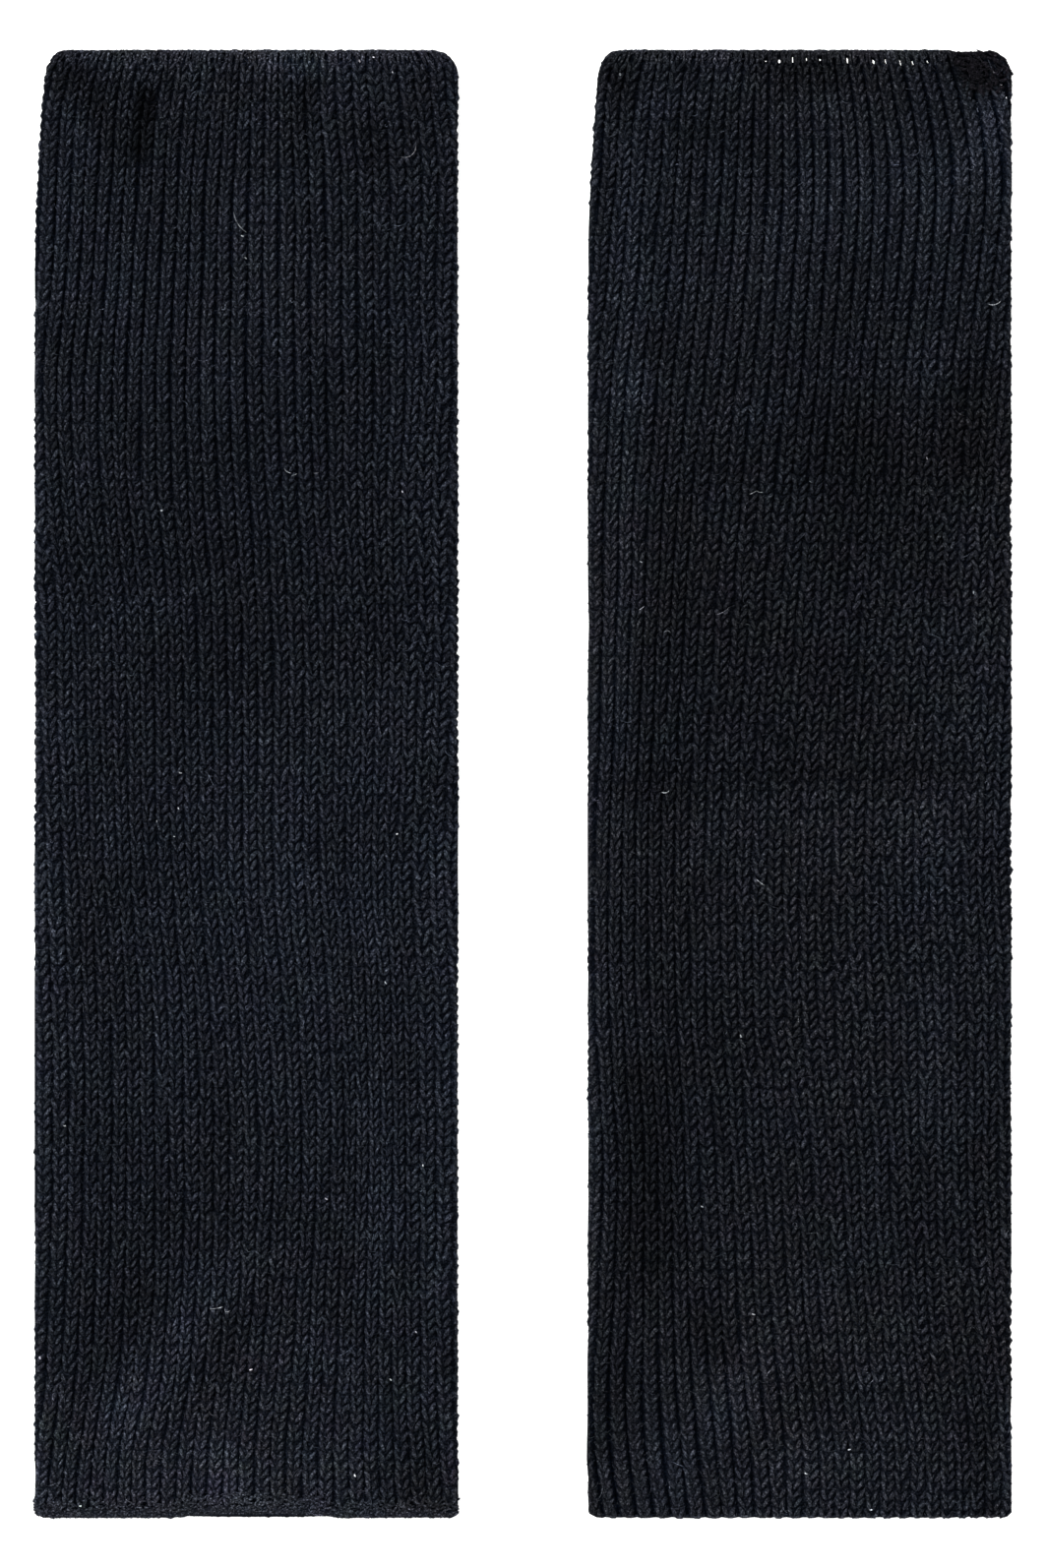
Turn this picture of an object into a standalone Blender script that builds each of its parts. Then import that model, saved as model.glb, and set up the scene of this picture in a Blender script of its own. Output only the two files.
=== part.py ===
"""A pair of knitted leg warmers laid flat, side by side.

Each leg is a seamless tube of rib-like wales, pressed flat so that its upper layer lies
on its lower one, with a linked edge at the top and a rolled hem at the bottom. The two
edges are rings of their own, a seam gap away from the tube.

Sizes are in millimetres. Across runs to the right from a leg's centre line, down runs
from its upper edge to its hem, and heights count from the surface that it lies on.
"""

import math
from collections import namedtuple

import bmesh
import bpy

MM = 0.001

# The pair
LEG_LENGTH = 400.0
LEG_WIDTH = 115.5
LEG_SPACING = 150.8
SEAM_GAP = 0.3

# The cloth: two layers with a thin slot between them
LOWER_WALL = 2.0
SLOT = 1.0
UPPER_WALL = 1.9
LAID_HEIGHT = LOWER_WALL + SLOT + UPPER_WALL
DEEPEST_SLOT_DIP = 0.5

# The wales, which stand up as ribs
RIB_RISE = 0.9
RIBS_PER_FACE = 28
RIBS_PAST_FOLD = 2
RibPoint = namedtuple("RibPoint", "place rise")
RIB_PROFILE = (
    RibPoint(-0.50, 0.0),
    RibPoint(-0.22, 1.0),
    RibPoint(0.22, 1.0),
)

# Points round the parts of a ring that have no ribs
UNDERSIDE_POINTS = 9
INSIDE_UPPER_POINTS = 22
INSIDE_LOWER_POINTS = 12

# The linked upper edge and the rolled hem
TOP_EDGE_DEPTH = 3.2
TOP_EDGE_RISE = 0.5
HEM_DEPTH = 2.7
HEM_RISE = 0.7
LIP_ROUNDING = 0.55

# The outline: rounded corners, and an upper left side that tapers in
Corner = namedtuple("Corner", "across down")
UPPER_LEFT_CORNER = Corner(4.3, 8.0)
UPPER_RIGHT_CORNER = Corner(6.8, 6.8)
LOWER_CORNER = Corner(2.0, 2.2)
LEFT_TAPER = 3.3
LEFT_TAPER_LENGTH = 67.0

# Each row of a piece is a ring of the wall. Ribs is how much of their rise stands there,
# band is a plain rise all round the outside, and lip is how far the wall's edge is rounded off.
Row = namedtuple("Row", "down ribs band lip")
TUBE_START = TOP_EDGE_DEPTH + SEAM_GAP
TUBE_END = LEG_LENGTH - HEM_DEPTH - SEAM_GAP
TOP_EDGE_ROWS = (
    Row(0.0, 0.2, 0.0, LIP_ROUNDING),
    Row(0.8, 0.4, TOP_EDGE_RISE, 0.0),
    Row(1.9, 0.4, TOP_EDGE_RISE, 0.0),
    Row(TOP_EDGE_DEPTH, 0.7, 0.2, 0.0),
)
TUBE_DOWNS = (
    7, 13, 22, 33, 48, 64, 82, 100, 125, 152, 178, 199, 214, 245, 282, 318, 345, 366, 384,
)
TUBE_ROWS = (
    Row(TUBE_START, 0.8, 0.0, 0.0),
    *(Row(down, 1.0, 0.0, 0.0) for down in TUBE_DOWNS),
    Row(TUBE_END, 0.7, 0.1, 0.0),
)
HEM_ROWS = (
    Row(LEG_LENGTH - HEM_DEPTH, 0.3, 0.4, 0.0),
    Row(LEG_LENGTH - 0.9, 0.1, HEM_RISE, 0.0),
    Row(LEG_LENGTH, 0.0, 0.2, LIP_ROUNDING),
)

# How far the wales wander to the right at the left side, in the middle and at the right side
Wander = namedtuple("Wander", "down left middle right")
LEFT_WANDER = (
    Wander(0, 1.9, 1.0, -1.5),
    Wander(40, -1.3, 0.0, 0.4),
    Wander(94, -4.0, 0.0, 0.0),
    Wander(148, -0.9, 1.1, -0.8),
    Wander(201, 0.8, 2.7, -1.0),
    Wander(255, 3.2, 3.2, -1.2),
    Wander(308, 4.0, 3.9, -1.0),
    Wander(362, 2.2, 3.2, -0.8),
    Wander(400, 0.2, 3.4, -0.8),
)
RIGHT_WANDER = (
    Wander(0, 6.0, 3.5, 3.0),
    Wander(40, 3.9, 4.8, 5.0),
    Wander(94, -0.5, 1.5, 1.5),
    Wander(148, -3.5, -3.0, -1.2),
    Wander(201, -6.0, -6.3, -3.5),
    Wander(255, -5.5, -6.7, -5.0),
    Wander(308, -3.5, -4.0, -4.0),
    Wander(362, -3.5, -0.5, -2.0),
    Wander(400, -1.5, 1.8, -1.0),
)

# Soft folds of the upper layer: a line from one place to another, how far the fold reaches
# to each side of it, and how high it stands, or how deep it lies where rise is negative
Fold = namedtuple("Fold", "from_across from_down to_across to_down reach rise")
LEFT_FOLDS = (
    Fold(-33, 10, -37, 34, 6, 0.5),
    Fold(-25, 8, -30, 31, 5, -1.0),
    Fold(-19, 8, -22, 32, 6, 0.6),
    Fold(11, 6, 8, 26, 5, 0.4),
    Fold(18, 8, 14, 26, 5, -0.8),
    Fold(26, 10, 24, 34, 6, 0.4),
    Fold(36, 14, 33, 36, 5, -0.6),
    Fold(-52, 6, -48, 22, 6, -0.5),
    Fold(48, 6, 52, 16, 6, -0.4),
    Fold(-10, 110, 2, 168, 40, -0.4),
    Fold(22, 195, 10, 280, 42, 0.5),
    Fold(-45, 244, -35, 232, 10, -0.4),
    Fold(-40, 356, -16, 310, 13, -0.7),
    Fold(-32, 371, -3, 331, 12, 0.9),
    Fold(-9, 357, 4, 342, 8, -0.5),
    Fold(38, 372, 46, 390, 13, -0.4),
)
RIGHT_FOLDS = (
    Fold(-39.6, 16, -40.9, 94, 8, 0.9),
    Fold(-40.9, 94, -46.3, 174, 8, 0.9),
    Fold(-46.3, 174, -53.8, 255, 7, 0.7),
    Fold(-53.8, 255, -54.0, 335, 7, 0.8),
    Fold(-49, 183, 44, 178, 13, 0.4),
    Fold(-50, 201, 50, 196, 9, -0.8),
    Fold(-44, 214, 48, 209, 13, 0.5),
    Fold(15, 35, -20, 64, 13, 0.8),
    Fold(57, 16, 40, 32, 9, 0.9),
    Fold(38, 4, 54, 10, 8, -0.9),
    Fold(-49, 6, -47, 12, 6, -0.6),
    Fold(-6, 6, 10, 8, 7, -0.6),
    Fold(-38, 78, -37, 83, 6, -0.8),
    Fold(47, 92, 45, 108, 13, -0.9),
    Fold(12, 96, 20, 130, 28, -0.5),
    Fold(-42, 283, -40, 331, 14, -0.9),
    Fold(-25, 345, -22, 353, 8, -0.6),
    Fold(-22, 372, -6, 352, 12, 0.8),
    Fold(2, 384, 28, 378, 12, 0.5),
    Fold(34, 310, 34, 324, 11, -0.4),
)

Leg = namedtuple("Leg", "name centre wander folds")
LEGS = (
    Leg("left", -LEG_SPACING / 2, LEFT_WANDER, LEFT_FOLDS),
    Leg("right", LEG_SPACING / 2, RIGHT_WANDER, RIGHT_FOLDS),
)

Yarn = namedtuple("Yarn", "colour roughness")
TUBE_YARN = Yarn((0.012, 0.014, 0.021, 1.0), 0.92)
TOP_EDGE_YARN = Yarn((0.010, 0.011, 0.017, 1.0), 0.94)
HEM_YARN = Yarn((0.015, 0.018, 0.027, 1.0), 0.95)
SMOOTH_ANGLE = math.radians(50)


def clamp(value, low, high):
    return max(low, min(high, value))


def mix(start, end, share):
    return start + (end - start) * share


def corner_inset(distance, corner):
    """How far a rounded corner draws a side in, at a distance from the corner's end."""
    share = 1.0 - clamp(distance / corner.down, 0.0, 1.0)
    return corner.across * (1.0 - math.sqrt(1.0 - share * share))


def side_places(down):
    """Where the left and the right side of a leg are at this row."""
    taper = LEFT_TAPER * (1.0 - clamp(down / LEFT_TAPER_LENGTH, 0.0, 1.0)) ** 2
    hem_inset = corner_inset(LEG_LENGTH - down, LOWER_CORNER)
    left_inset = taper + corner_inset(down, UPPER_LEFT_CORNER) + hem_inset
    right_inset = corner_inset(down, UPPER_RIGHT_CORNER) + hem_inset
    return left_inset - LEG_WIDTH / 2, LEG_WIDTH / 2 - right_inset


def wander_at(rows, down, share):
    """The wales' sideways drift at this row, for a share of the way from left to right."""
    after = next((i for i, row in enumerate(rows) if row.down >= down), len(rows) - 1)
    before = max(after - 1, 0)
    span = rows[after].down - rows[before].down
    along = (down - rows[before].down) / span if span else 0.0
    left, middle, right = (
        mix(getattr(rows[before], side), getattr(rows[after], side), along)
        for side in ("left", "middle", "right")
    )
    if share < 0.5:
        return mix(left, middle, 2.0 * share)
    return mix(middle, right, 2.0 * share - 1.0)


def fold_rise(fold, across, down):
    """A fold's height at one place, fading smoothly to nothing at its reach."""
    run_across = fold.to_across - fold.from_across
    run_down = fold.to_down - fold.from_down
    length_squared = run_across**2 + run_down**2
    off_across = across - fold.from_across
    off_down = down - fold.from_down
    along = (off_across * run_across + off_down * run_down) / length_squared
    along = clamp(along, 0.0, 1.0)
    distance = math.hypot(off_across - along * run_across, off_down - along * run_down)
    share = clamp(distance / fold.reach, 0.0, 1.0)
    return fold.rise * (1.0 - share * share) ** 2


def relief(leg, across, down):
    """The upper layer's height above its laid height, from all its folds."""
    return sum(fold_rise(fold, across, down) for fold in leg.folds)


class FlatRing:
    """A pressed-flat ring: two straight layers joined by half circles at both sides.

    Distances round it start at its left end and run over the upper layer to the right.
    """

    def __init__(self, left, right, low, high):
        self.left = left
        self.right = right
        self.low = low
        self.high = high
        self.radius = (high - low) / 2
        self.quarter = math.pi * self.radius / 2
        self.straight = right - left - 2 * self.radius
        self.half = self.straight + 2 * self.quarter

    def folded(self, distance):
        """The same place counted over the upper layer, and whether it is under it."""
        distance %= 2 * self.half
        if distance > self.half:
            return 2 * self.half - distance, True
        return distance, False

    def place(self, distance):
        """The point at a distance round the ring, and the direction out of it."""
        over, under = self.folded(distance)
        middle = (self.low + self.high) / 2
        if over < self.quarter:
            angle = over / self.radius
            out_across, out_up = -math.cos(angle), math.sin(angle)
            centre = self.left + self.radius
        elif over < self.quarter + self.straight:
            out_across, out_up = 0.0, 1.0
            centre = self.left + self.radius + over - self.quarter
        else:
            angle = (over - self.quarter - self.straight) / self.radius
            out_across, out_up = math.sin(angle), math.cos(angle)
            centre = self.right - self.radius
        if under:
            out_up = -out_up
        across = centre + self.radius * out_across
        return across, middle + self.radius * out_up, out_across, out_up

    def standing(self, distance):
        """1 on the upper layer and the sides, fading to 0 where the ring rests."""
        over, under = self.folded(distance)
        if not under:
            return 1.0
        from_side = min(over, self.half - over)
        return (1.0 - clamp(from_side / self.quarter, 0.0, 1.0)) ** 2


def rib_columns(leg, down, ring):
    """Distances round a ring of the outside's points, each with its share of rib rise."""
    pitch = ring.half / RIBS_PER_FACE
    columns = []
    for rib in range(-RIBS_PAST_FOLD, RIBS_PER_FACE + RIBS_PAST_FOLD + 1):
        for point in RIB_PROFILE:
            place = rib + point.place
            share = clamp(place / RIBS_PER_FACE, 0.0, 1.0)
            drift = wander_at(leg.wander, down, share)
            columns.append((place * pitch + drift, point.rise))
    last_place = RIBS_PER_FACE + RIBS_PAST_FOLD - RIB_PROFILE[0].place
    last = last_place * pitch + wander_at(leg.wander, down, 1.0)
    columns.append((last, 0.0))
    underside = columns[0][0] + 2 * ring.half - last
    for i in range(1, UNDERSIDE_POINTS + 1):
        columns.append((last + underside * i / (UNDERSIDE_POINTS + 1), 0.0))
    return columns


def outside_points(leg, row):
    """The outside of the wall at one row, ribs and folds included."""
    left, right = side_places(row.down)
    ring = FlatRing(left + RIB_RISE, right - RIB_RISE, 0.0, LAID_HEIGHT)
    points = []
    for distance, rib_share in rib_columns(leg, row.down, ring):
        across, height, out_across, out_up = ring.place(distance)
        rise = max(RIB_RISE * row.ribs * rib_share, 0.0) + row.band
        out = rise * ring.standing(distance) - row.lip
        height += relief(leg, across, row.down) * clamp(height / LAID_HEIGHT, 0.0, 1.0)
        points.append((across + out * out_across, height + out * out_up))
    return points


def inside_points(leg, row):
    """The plain inside of the wall at one row, which follows the folds."""
    left, right = side_places(row.down)
    side_wall = RIB_RISE + UPPER_WALL
    ring = FlatRing(left + side_wall, right - side_wall, LOWER_WALL, LOWER_WALL + SLOT)
    distances = [ring.half * i / INSIDE_UPPER_POINTS for i in range(INSIDE_UPPER_POINTS)]
    distances += [
        ring.half * (1 + i / INSIDE_LOWER_POINTS) for i in range(INSIDE_LOWER_POINTS)
    ]
    points = []
    for distance in distances:
        across, height, out_across, out_up = ring.place(distance)
        lift = max(relief(leg, across, row.down), -DEEPEST_SLOT_DIP)
        height += lift * (height - LOWER_WALL) / SLOT
        points.append((across + row.lip * out_across, height + row.lip * out_up))
    return points


def add_wall(mesh, leg, rows, ring_points):
    """Adds one side of the wall, and returns its first and last loop of edges."""
    rings = []
    for row in rows:
        forward = LEG_LENGTH / 2 - row.down
        ring = [
            mesh.verts.new((across * MM, forward * MM, height * MM))
            for across, height in ring_points(leg, row)
        ]
        rings.append(ring)
    count = len(rings[0])
    for upper, lower in zip(rings, rings[1:]):
        for i in range(count):
            j = (i + 1) % count
            mesh.faces.new((upper[i], upper[j], lower[j], lower[i]))
    loops = []
    for ring in (rings[0], rings[-1]):
        loops.append([mesh.edges.get((ring[i], ring[(i + 1) % count])) for i in range(count)])
    return loops


def make_yarn(name, yarn):
    """A plain yarn material of its own for each piece."""
    material = bpy.data.materials.new(name + "_yarn")
    material.use_nodes = True
    shader = material.node_tree.nodes["Principled BSDF"]
    shader.inputs["Base Color"].default_value = yarn.colour
    shader.inputs["Roughness"].default_value = yarn.roughness
    shader.inputs["Metallic"].default_value = 0.0
    return material


def make_piece(leg, holder, suffix, rows, yarn):
    """One closed ring of wall, from its outside, its inside and the two end faces."""
    name = f"{leg.name}_{suffix}"
    mesh = bmesh.new()
    outer_loops = add_wall(mesh, leg, rows, outside_points)
    inner_loops = add_wall(mesh, leg, rows, inside_points)
    for outer, inner in zip(outer_loops, inner_loops):
        bmesh.ops.triangle_fill(mesh, edges=outer + inner, use_beauty=True)
    bmesh.ops.triangulate(mesh, faces=[face for face in mesh.faces if len(face.verts) > 3])
    bmesh.ops.recalc_face_normals(mesh, faces=mesh.faces)
    data = bpy.data.meshes.new(name)
    mesh.to_mesh(data)
    mesh.free()
    data.shade_smooth()
    data.set_sharp_from_angle(angle=SMOOTH_ANGLE)
    piece = bpy.data.objects.new(name, data)
    piece.data.materials.append(make_yarn(name, yarn))
    piece.parent = holder
    bpy.context.scene.collection.objects.link(piece)


def make_leg(leg):
    """A tube with its linked upper edge and its rolled hem, on the leg's own centre."""
    holder = bpy.data.objects.new(leg.name + "_leg", None)
    holder.location = (leg.centre * MM, 0.0, 0.0)
    bpy.context.scene.collection.objects.link(holder)
    make_piece(leg, holder, "top_edge", TOP_EDGE_ROWS, TOP_EDGE_YARN)
    make_piece(leg, holder, "tube", TUBE_ROWS, TUBE_YARN)
    make_piece(leg, holder, "hem", HEM_ROWS, HEM_YARN)


def main():
    for item in list(bpy.data.objects):
        bpy.data.objects.remove(item, do_unlink=True)
    for leg in LEGS:
        make_leg(leg)


main()
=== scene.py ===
"""Dresses a pair of knitted leg warmers that lie flat, side by side.

Each leg is a tube of stocking stitch pressed flat, so that its upper layer lies on its
lower one. A thin ground shell carries the form of the cloth. Every stitch on it is a pair
of yarn strokes that meet at the bottom, and loose fibres lie over them. Linked loops finish
the upper edge. The lower edge curls into a rolled hem on the left leg, and lies flat on the
right one.

Sizes are in millimetres, and become metres when points are placed. Across runs to the
right from a leg's centre line, down runs from its upper edge to its hem, out is the
distance out of the cloth, and a place round the tube counts in wales from its left side
over the upper layer.
"""

import logging
import math
from dataclasses import astuple, dataclass, field
from enum import Enum

import bpy
import numpy as np
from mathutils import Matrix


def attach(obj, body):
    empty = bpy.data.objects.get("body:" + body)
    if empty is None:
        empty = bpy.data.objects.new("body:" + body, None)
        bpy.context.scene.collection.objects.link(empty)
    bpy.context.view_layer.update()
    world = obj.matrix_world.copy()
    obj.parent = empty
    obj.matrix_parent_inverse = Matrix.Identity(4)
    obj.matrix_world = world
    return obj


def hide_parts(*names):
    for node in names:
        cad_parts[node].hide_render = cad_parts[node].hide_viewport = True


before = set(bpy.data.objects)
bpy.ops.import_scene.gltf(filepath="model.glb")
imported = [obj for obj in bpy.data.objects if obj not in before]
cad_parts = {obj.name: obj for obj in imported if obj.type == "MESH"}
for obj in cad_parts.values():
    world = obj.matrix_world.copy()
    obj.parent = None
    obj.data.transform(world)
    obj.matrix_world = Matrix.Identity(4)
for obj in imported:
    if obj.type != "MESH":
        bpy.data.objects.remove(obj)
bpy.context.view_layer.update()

MM = 0.001
TINY = 1e-9
BODY = "root"
WHITE = (1.0, 1.0, 1.0, 1.0)

SIDE_CREST = 0.35  # how much of its crest shows on a strand's sides, which get painted shade
RAGGED_YARN = 0.20  # how uneven a strand's radius is
RAGGED_RANGE = (0.5, 1.6)  # its least and greatest share of the even radius
MAP_STEP = 7.3  # how far the yarn's map moves on from strand to strand
SHORTEST_WAVE = 0.35  # the shortest slow wave's length beside the longest one's
LOWEST_WAVE = 0.5  # the lowest slow wave's height beside the highest one's

log = logging.getLogger("leg_warmers")

Values = np.ndarray
Sizes = tuple[float, ...]
Pair = tuple[float, float]
Colour = tuple[float, float, float]
Socket = bpy.types.NodeSocket
Piece = bpy.types.Object


class Layer(Enum):
    """The two layers of a tube that lies flat."""

    UPPER = "upper"
    LOWER = "lower"


class LegEnd(Enum):
    """The two ends of a leg."""

    TOP = "top"
    HEM = "hem"


class HemStyle(Enum):
    """How a leg's lower edge is finished."""

    ROLLED = "rolled"
    OPEN = "open"


class YarnSection(Enum):
    """Which part of a yarn's round section is built, as angles from its outward side."""

    FACE = (-1.9, -0.66, 0.66, 1.9)
    BACK = (-1.7, 0.0, 1.7)
    ROUND = tuple(i * math.tau / 6 for i in range(6))
    HAIR = (-math.pi / 2, math.pi / 2)

    @property
    def closed(self) -> bool:
        """Whether the section runs all the way round."""
        return self is YarnSection.ROUND

    @property
    def rounding(self) -> Values:
        """How much of its crest shows at each angle: a strand's sides get painted shade."""
        if self is YarnSection.HAIR:
            return np.ones(len(self.value))
        return np.clip(SIDE_CREST + (1.0 - SIDE_CREST) * np.cos(self.value), 0.0, 1.0)

    @property
    def ragged(self) -> float:
        """How uneven its radius is, as a share of it."""
        return 0.0 if self is YarnSection.HAIR else RAGGED_YARN


@dataclass(frozen=True)
class Wander:
    """How far five of the wales drift to the right, at one place down the leg."""

    down: float
    far_left: float
    left: float
    middle: float
    right: float
    far_right: float


@dataclass(frozen=True)
class Opening:
    """How open the grooves between wales are at one place down the leg.

    At 0 they are shut and at 1 open, and a very tight or loose stretch runs a little past that.
    """

    down: float
    left: float
    middle: float
    right: float


@dataclass(frozen=True)
class Warmth:
    """How much of the yarn's second shade there is, from 0 to 1, at one place down the leg."""

    down: float
    share: float


@dataclass(frozen=True)
class Fold:
    """A soft ridge along a line, or a trough where its rise is negative. The material also paints
    light on its ridge and shade in its trough.
    """

    from_across: float
    from_down: float
    to_across: float
    to_down: float
    reach: float
    rise: float


@dataclass(frozen=True)
class EdgeDip:
    """A stretch where one layer's edge stops short of the leg's end."""

    end: LegEnd
    layer: Layer
    across: float
    left_reach: float
    right_reach: float
    depth: float
    flatness: float = 4.0

    def depth_at(self, across: Values) -> Values:
        """Finds how far the edge stops short.

        Args:
            across: Places across.

        Returns:
            The depth of the dip at each place.
        """
        off = across - self.across
        share = np.where(off < 0, -off / self.left_reach, off / self.right_reach)
        return self.depth * (1.0 - np.clip(share, 0.0, 1.0) ** self.flatness) ** 2


@dataclass(frozen=True)
class TurnedCorner:
    """A patch at the upper edge where the upper layer turns its inner side out.

    Each ripple of its ragged rim has a height, and a pace across and down.
    """

    across: float
    reach_across: float
    reach_down: float
    ripples: tuple[Sizes, ...] = ((0.16, 2.3, 0.9), (0.14, 1.1, -1.9))

    def holds(self, across: Values, down: Values) -> Values:
        """Finds which places lie in the patch.

        Args:
            across: Places across.
            down: Places down, of the same shape.

        Returns:
            Whether each place lies in it.
        """
        far = np.abs((across - self.across) / self.reach_across) ** 3
        far = far + (down / self.reach_down) ** 3
        ragged = sum(
            height * np.sin(pace_across * across + pace_down * down)
            for height, pace_across, pace_down in self.ripples
        )
        return far < 1.0 + ragged


@dataclass(frozen=True)
class Slot:
    """A small opening inside a loop of the upper edge."""

    across: float
    down: float
    width: float
    height: float
    lean: float

    def holds(self, across: Values, down: Values) -> Values:
        """Finds which places lie in the opening.

        Args:
            across: Places across.
            down: Places down, of the same shape.

        Returns:
            Whether each place lies in it.
        """
        off_down = down - self.down
        off_across = across - self.across - self.lean * off_down
        return (2 * off_across / self.width) ** 2 + (2 * off_down / self.height) ** 2 < 1.0


@dataclass(frozen=True)
class Lint:
    """A bit of pale fluff caught on the upper layer."""

    across: float
    down: float
    length: float
    turn: float
    curl: float
    width: float = 0.11


@dataclass(frozen=True)
class Corner:
    """A rounded corner of the outline."""

    across: float
    down: float

    def inset(self, distance: Values) -> Values:
        """How far the corner draws a side in, at a distance from the leg's end.

        Args:
            distance: Distances from the end, in millimetres.

        Returns:
            The inset at each distance.
        """
        share = 1.0 - np.clip(distance / self.down, 0.0, 1.0)
        return self.across * (1.0 - np.sqrt(1.0 - share * share))


def table(kind: type, *rows: Sizes) -> tuple:
    """Makes one item of a kind from each row of numbers.

    Args:
        kind: The items' class.
        rows: Each item's numbers, in the order of its fields.

    Returns:
        The items.
    """
    return tuple(kind(*row) for row in rows)


def by_column(items: tuple) -> Values:
    """Turns a table's items into columns of numbers, one for each field."""
    return np.array([astuple(item) for item in items]).T


@dataclass(frozen=True)
class TubeSizes:
    """The sizes that both legs share.

    Slow waves are given as their number and the longest one's length.
    """

    length: float = 400.0
    width: float = 115.5
    wales: int = 56
    courses: int = 152
    loops: int = 64
    rib_rise: float = 0.9
    lower_face: float = 0.76
    upper_face: float = 4.9
    wall: float = 1.25
    top_edge_depth: float = 3.4
    taper: float = 3.3
    taper_length: float = 67.0
    upper_left: Corner = Corner(4.3, 8.0)
    upper_right: Corner = Corner(6.8, 6.8)
    lower: Corner = Corner(2.0, 2.2)
    corner_reach: float = 17.0
    wander_wales: tuple[int, ...] = (2, 8, 14, 20, 26, 58)
    dip_fade: float = 34.0
    lower_squash: float = 0.78
    # Troughs in the form stop at this depth, while their painted shade keeps deepening.
    deepest: float = 1.3
    floor_gap: float = 0.02
    row_waves: tuple[int, float] = (7, 150.0)
    wale_waves: tuple[int, float] = (8, 60.0)
    cloth_waves: tuple[int, float] = (9, 90.0)
    wale_width: float = 4.1
    row_sway: float = 0.9
    wale_sway: float = 0.11
    wale_sway_pace: float = 23.0
    cloth_rise: float = 0.08
    side_rise: float = 0.22
    # Height, in lower faces, where the painted light and shade of the folds starts on the upper
    # layer.
    shaded_from: float = 2.2
    slot_margin: float = 1.6
    slot_side: float = 0.7
    slot_under: float = 0.45
    search_steps: int = 6

    @property
    def face_wales(self) -> int:
        """Wales from one side of the flat tube to the other."""
        return self.wales // 2


TUBE = TubeSizes()


def smooth_waves(rng: np.random.Generator, count: int, longest: float) -> Values:
    """Chooses a few slow waves over a surface.

    Args:
        rng: The source of chance for this leg.
        count: How many waves there are.
        longest: The longest wavelength.

    Returns:
        A row for each wave: its two frequencies, its phase and its share of the height.
    """
    angle = rng.uniform(0, math.tau, count)
    frequency = math.tau / (longest * rng.uniform(SHORTEST_WAVE, 1.0, count))
    phase = rng.uniform(0, math.tau, count)
    share = rng.uniform(LOWEST_WAVE, 1.0, count)
    share /= share.sum()
    return np.stack([frequency * np.cos(angle), frequency * np.sin(angle), phase, share], 1)


def wave_height(waves: Values, across: Values, down: Values) -> Values:
    """Adds up slow waves, to a height between -1 and 1.

    Args:
        waves: What smooth_waves chose.
        across: Places across.
        down: Places down, of the same shape.

    Returns:
        The height at each place.
    """
    total = np.zeros(np.broadcast(across, down).shape)
    for along, over, phase, share in waves:
        total += share * np.sin(across * along + down * over + phase)
    return total


def smooth_between(stops: Values, values: Values, at: Values) -> Values:
    """Runs smooth curves through values that are given at stops.

    Args:
        stops: Where the values are given, in rising order.
        values: A row for each stop and a column for each curve.
        at: Where the curves are read.

    Returns:
        The curves' values, with one more axis than the places have.
    """
    slope = np.gradient(values, stops, axis=0)
    first = np.clip(np.searchsorted(stops, at) - 1, 0, len(stops) - 2)
    gap = (stops[first + 1] - stops[first])[..., None]
    share = np.clip((at - stops[first])[..., None] / gap, 0.0, 1.0)
    rest = 1.0 - share
    start = values[first] * (1.0 + 2.0 * share) + slope[first] * gap * share
    end = values[first + 1] * (1.0 + 2.0 * rest) - slope[first + 1] * gap * rest
    return start * rest * rest + end * share * share


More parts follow.
